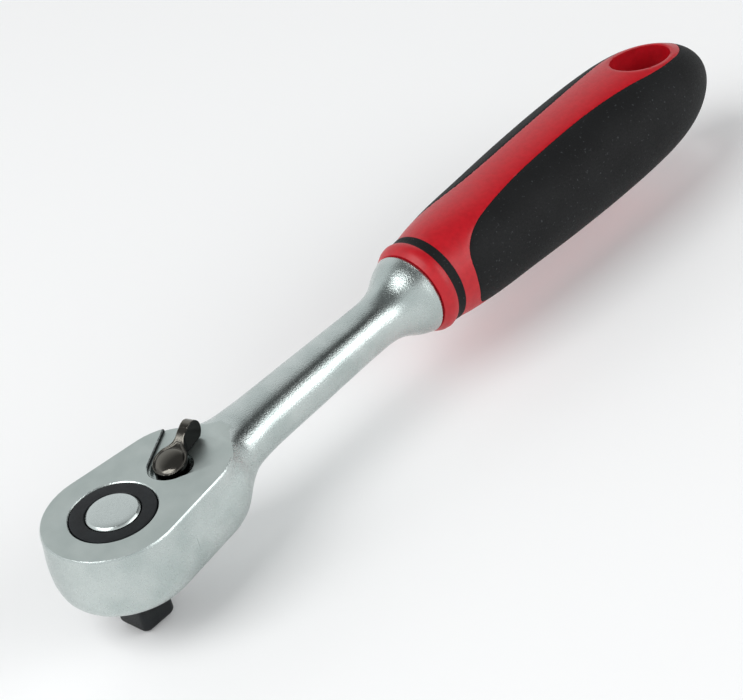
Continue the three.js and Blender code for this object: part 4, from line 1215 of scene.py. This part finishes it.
# Moulded elastomer: a spark-eroded mould leaves a fine matt grain, and it holds specks of pale dust
def black_elastomer(tree):
    erosion = grain(tree, 0.4, detail=3)
    specks = grain(tree, 0.7, detail=1)
    broad = grain(tree, 14, detail=2)
    base = blend_colours(tree, spread(tree, broad, 0, 1), "#0E0F10", "#151617")
    dusty = add_node(tree, "ShaderNodeMix", {
        0: spread(tree, specks, 0, 0.35, 0.68, 0.78), 6: base, 7: linear("#55585B")}, data_type="RGBA")
    return add_node(tree, "ShaderNodeBsdfPrincipled", {
        "Base Color": dusty.outputs[2],
        "Roughness": spread(tree, erosion, 0.58, 0.72),
        "IOR": 1.5,
        "Specular IOR Level": 0.2,
        "Normal": relief(tree, erosion, 0.03, 0.45),
    })


red_plastic = surface("moulded_red_polypropylene", red_polypropylene)
soft_black = surface("moulded_black_elastomer", black_elastomer)


def grip_core():
    """The hard core: its bead, its stripes and the sunk bed that the soft panels fill."""
    core = grip_skin("hard_core", 0, GRIP_GAP, GRIP_END, 0.6, 160)
    panels = panel_blank("panels", 1, OVERMOULD_DEPTH, 0, 1.2, 96)
    outer = grip_skin("band_room", -1, BAND_START - 0.05, BAND_START + BAND_WIDTH + 0.05, 0.6, 160)
    inner = grip_skin("band_floor", BAND_DEPTH, BAND_START - 1, BAND_START + BAND_WIDTH + 1, 0.6, 160)
    combine(outer, "DIFFERENCE", inner)
    bar = turned("bar", [(TANG_RADIUS + 0.1, COLLAR_X - 2), (TANG_RADIUS + 0.1, TANG_END_X + 0.5)], steps=64)
    lie_along_x(bar, SHANK_Z)
    combine(core, "DIFFERENCE", panels, outer, hang_hole(), bar)
    ease_edge(core, near_hole, 1.1, 0.8)
    ease_edge(core, near_stripe, 0.6, 0.12)
    shade(core, 35)
    return core


def soft_panels():
    """The soft panels, a hair clear of the stripes they meet."""
    panels = panel_blank("soft_panels", 0, OVERMOULD_DEPTH - SEAM, SEAM, 0.6, 160)
    ease_edge(panels, near_stripe, 0.9, 0.3)
    shade(panels, 35)
    return panels


def soft_band():
    """The narrow band let into a groove behind the bead."""
    start = BAND_START
    end = BAND_START + BAND_WIDTH
    band = grip_skin("soft_band", -0.02, start, end, 0.2, 160)
    combine(band, "DIFFERENCE", grip_skin("inside", BAND_DEPTH - SEAM, start - 1, end + 1, 0.6, 160))
    shade(band, 35)
    return band


fit(grip_core(), "handle", "red_polypropylene", "grip_core", material=red_plastic)
fit(soft_panels(), "handle", "black_tpe", "grip_overmould", material=soft_black)
fit(soft_band(), "handle", "black_tpe", "grip_band", material=soft_black)


# ------------------------------------------------------------------ floor, light and camera
# A plain white floor and two large soft boxes, seen from above the head's front right corner. The
# glow round them dims overhead and in one patch towards the grip, which the polished sides mirror.

FLOOR_HALF = 4


def floor_material(tree):
    return add_node(tree, "ShaderNodeBsdfPrincipled", {
        "Base Color": linear("#FAFAFA"), "Roughness": 0.9, "Specular IOR Level": 0.1})


floor_mesh = bpy.data.meshes.new("floor")
floor_mesh.from_pydata([(x, y, 0) for x, y in ((-FLOOR_HALF, -FLOOR_HALF), (FLOOR_HALF, -FLOOR_HALF),
                                               (FLOOR_HALF, FLOOR_HALF), (-FLOOR_HALF, FLOOR_HALF))],
                       [], [(0, 1, 2, 3)])
floor = bpy.data.objects.new("floor", floor_mesh)
bpy.context.scene.collection.objects.link(floor)
floor_mesh.materials.append(surface("white_paper", floor_material))
floor.location.z = cad_box[0].z - 0.0002

AIM = Vector((0.0769, -0.0065, 0.0241))


def soft_box(name, direction, distance, width, height, power):
    """A soft box in a direction from the object, facing it."""
    light = bpy.data.lights.new(name, "AREA")
    light.shape = "RECTANGLE"
    light.size = width
    light.size_y = height
    light.energy = power
    lamp = bpy.data.objects.new(name, light)
    bpy.context.scene.collection.objects.link(lamp)
    away = Vector(direction).normalized()
    lamp.location = AIM + away * distance
    lamp.rotation_euler = away.to_track_quat("Z", "Y").to_euler()


soft_box("key", (0.515, -0.75, 0.43), 1.1, 1.0, 0.62, 3.6)
soft_box("fill", (-0.6, 0.1, 0.8), 1.3, 0.9, 0.9, 9.5)

world = bpy.data.worlds.new("studio")
world.use_nodes = True
background = world.node_tree.nodes["Background"]
background.inputs["Color"].default_value = linear("#F2F4F5")
direction = add_node(world.node_tree, "ShaderNodeTexCoord").outputs["Generated"]
height = add_node(world.node_tree, "ShaderNodeSeparateXYZ", {"Vector": direction}).outputs["Z"]
WALL_HEIGHT = math.sin(math.radians(40))
CEILING_HEIGHT = math.sin(math.radians(58))
glow = spread(world.node_tree, height, 1.0, 0.2, WALL_HEIGHT, CEILING_HEIGHT)
DARK_SIDE = Vector((0.8, -0.1, 0.59)).normalized()
towards_dark = add_node(world.node_tree, "ShaderNodeVectorMath", {0: direction, 1: DARK_SIDE},
                        operation="DOT_PRODUCT").outputs["Value"]
DARK_EDGE = math.cos(math.radians(32))
DARK_CORE = math.cos(math.radians(20))
dimmed = spread(world.node_tree, towards_dark, 1, 0.1, DARK_EDGE, DARK_CORE)
strength = add_node(world.node_tree, "ShaderNodeMath", {0: glow, 1: dimmed}, operation="MULTIPLY").outputs[0]
world.node_tree.links.new(strength, background.inputs["Strength"])
bpy.context.scene.world = world

CAMERA_AZIMUTH = math.radians(-39.22)
CAMERA_ELEVATION = math.radians(35.13)
CAMERA_ROLL = math.radians(14.94)
CAMERA_PLACE = (-0.2822, -0.4465, 0.4237)
SENSOR_WIDTH = 36
FOCAL_LENGTH = 145.4

camera_data = bpy.data.cameras.new("camera")
camera_data.sensor_width = SENSOR_WIDTH
camera_data.lens = FOCAL_LENGTH
camera = bpy.data.objects.new("camera", camera_data)
bpy.context.scene.collection.objects.link(camera)
back = Vector((math.sin(CAMERA_AZIMUTH) * math.cos(CAMERA_ELEVATION),
               -math.cos(CAMERA_AZIMUTH) * math.cos(CAMERA_ELEVATION), math.sin(CAMERA_ELEVATION)))
level = Vector((0, 0, 1)).cross(back).normalized()
upright = back.cross(level)
right = level * math.cos(CAMERA_ROLL) - upright * math.sin(CAMERA_ROLL)
up = back.cross(right)
camera.matrix_world = Matrix.Translation(CAMERA_PLACE) @ Matrix((right, up, back)).transposed().to_4x4()
bpy.context.scene.camera = camera
bpy.context.scene.view_settings.view_transform = "Standard"
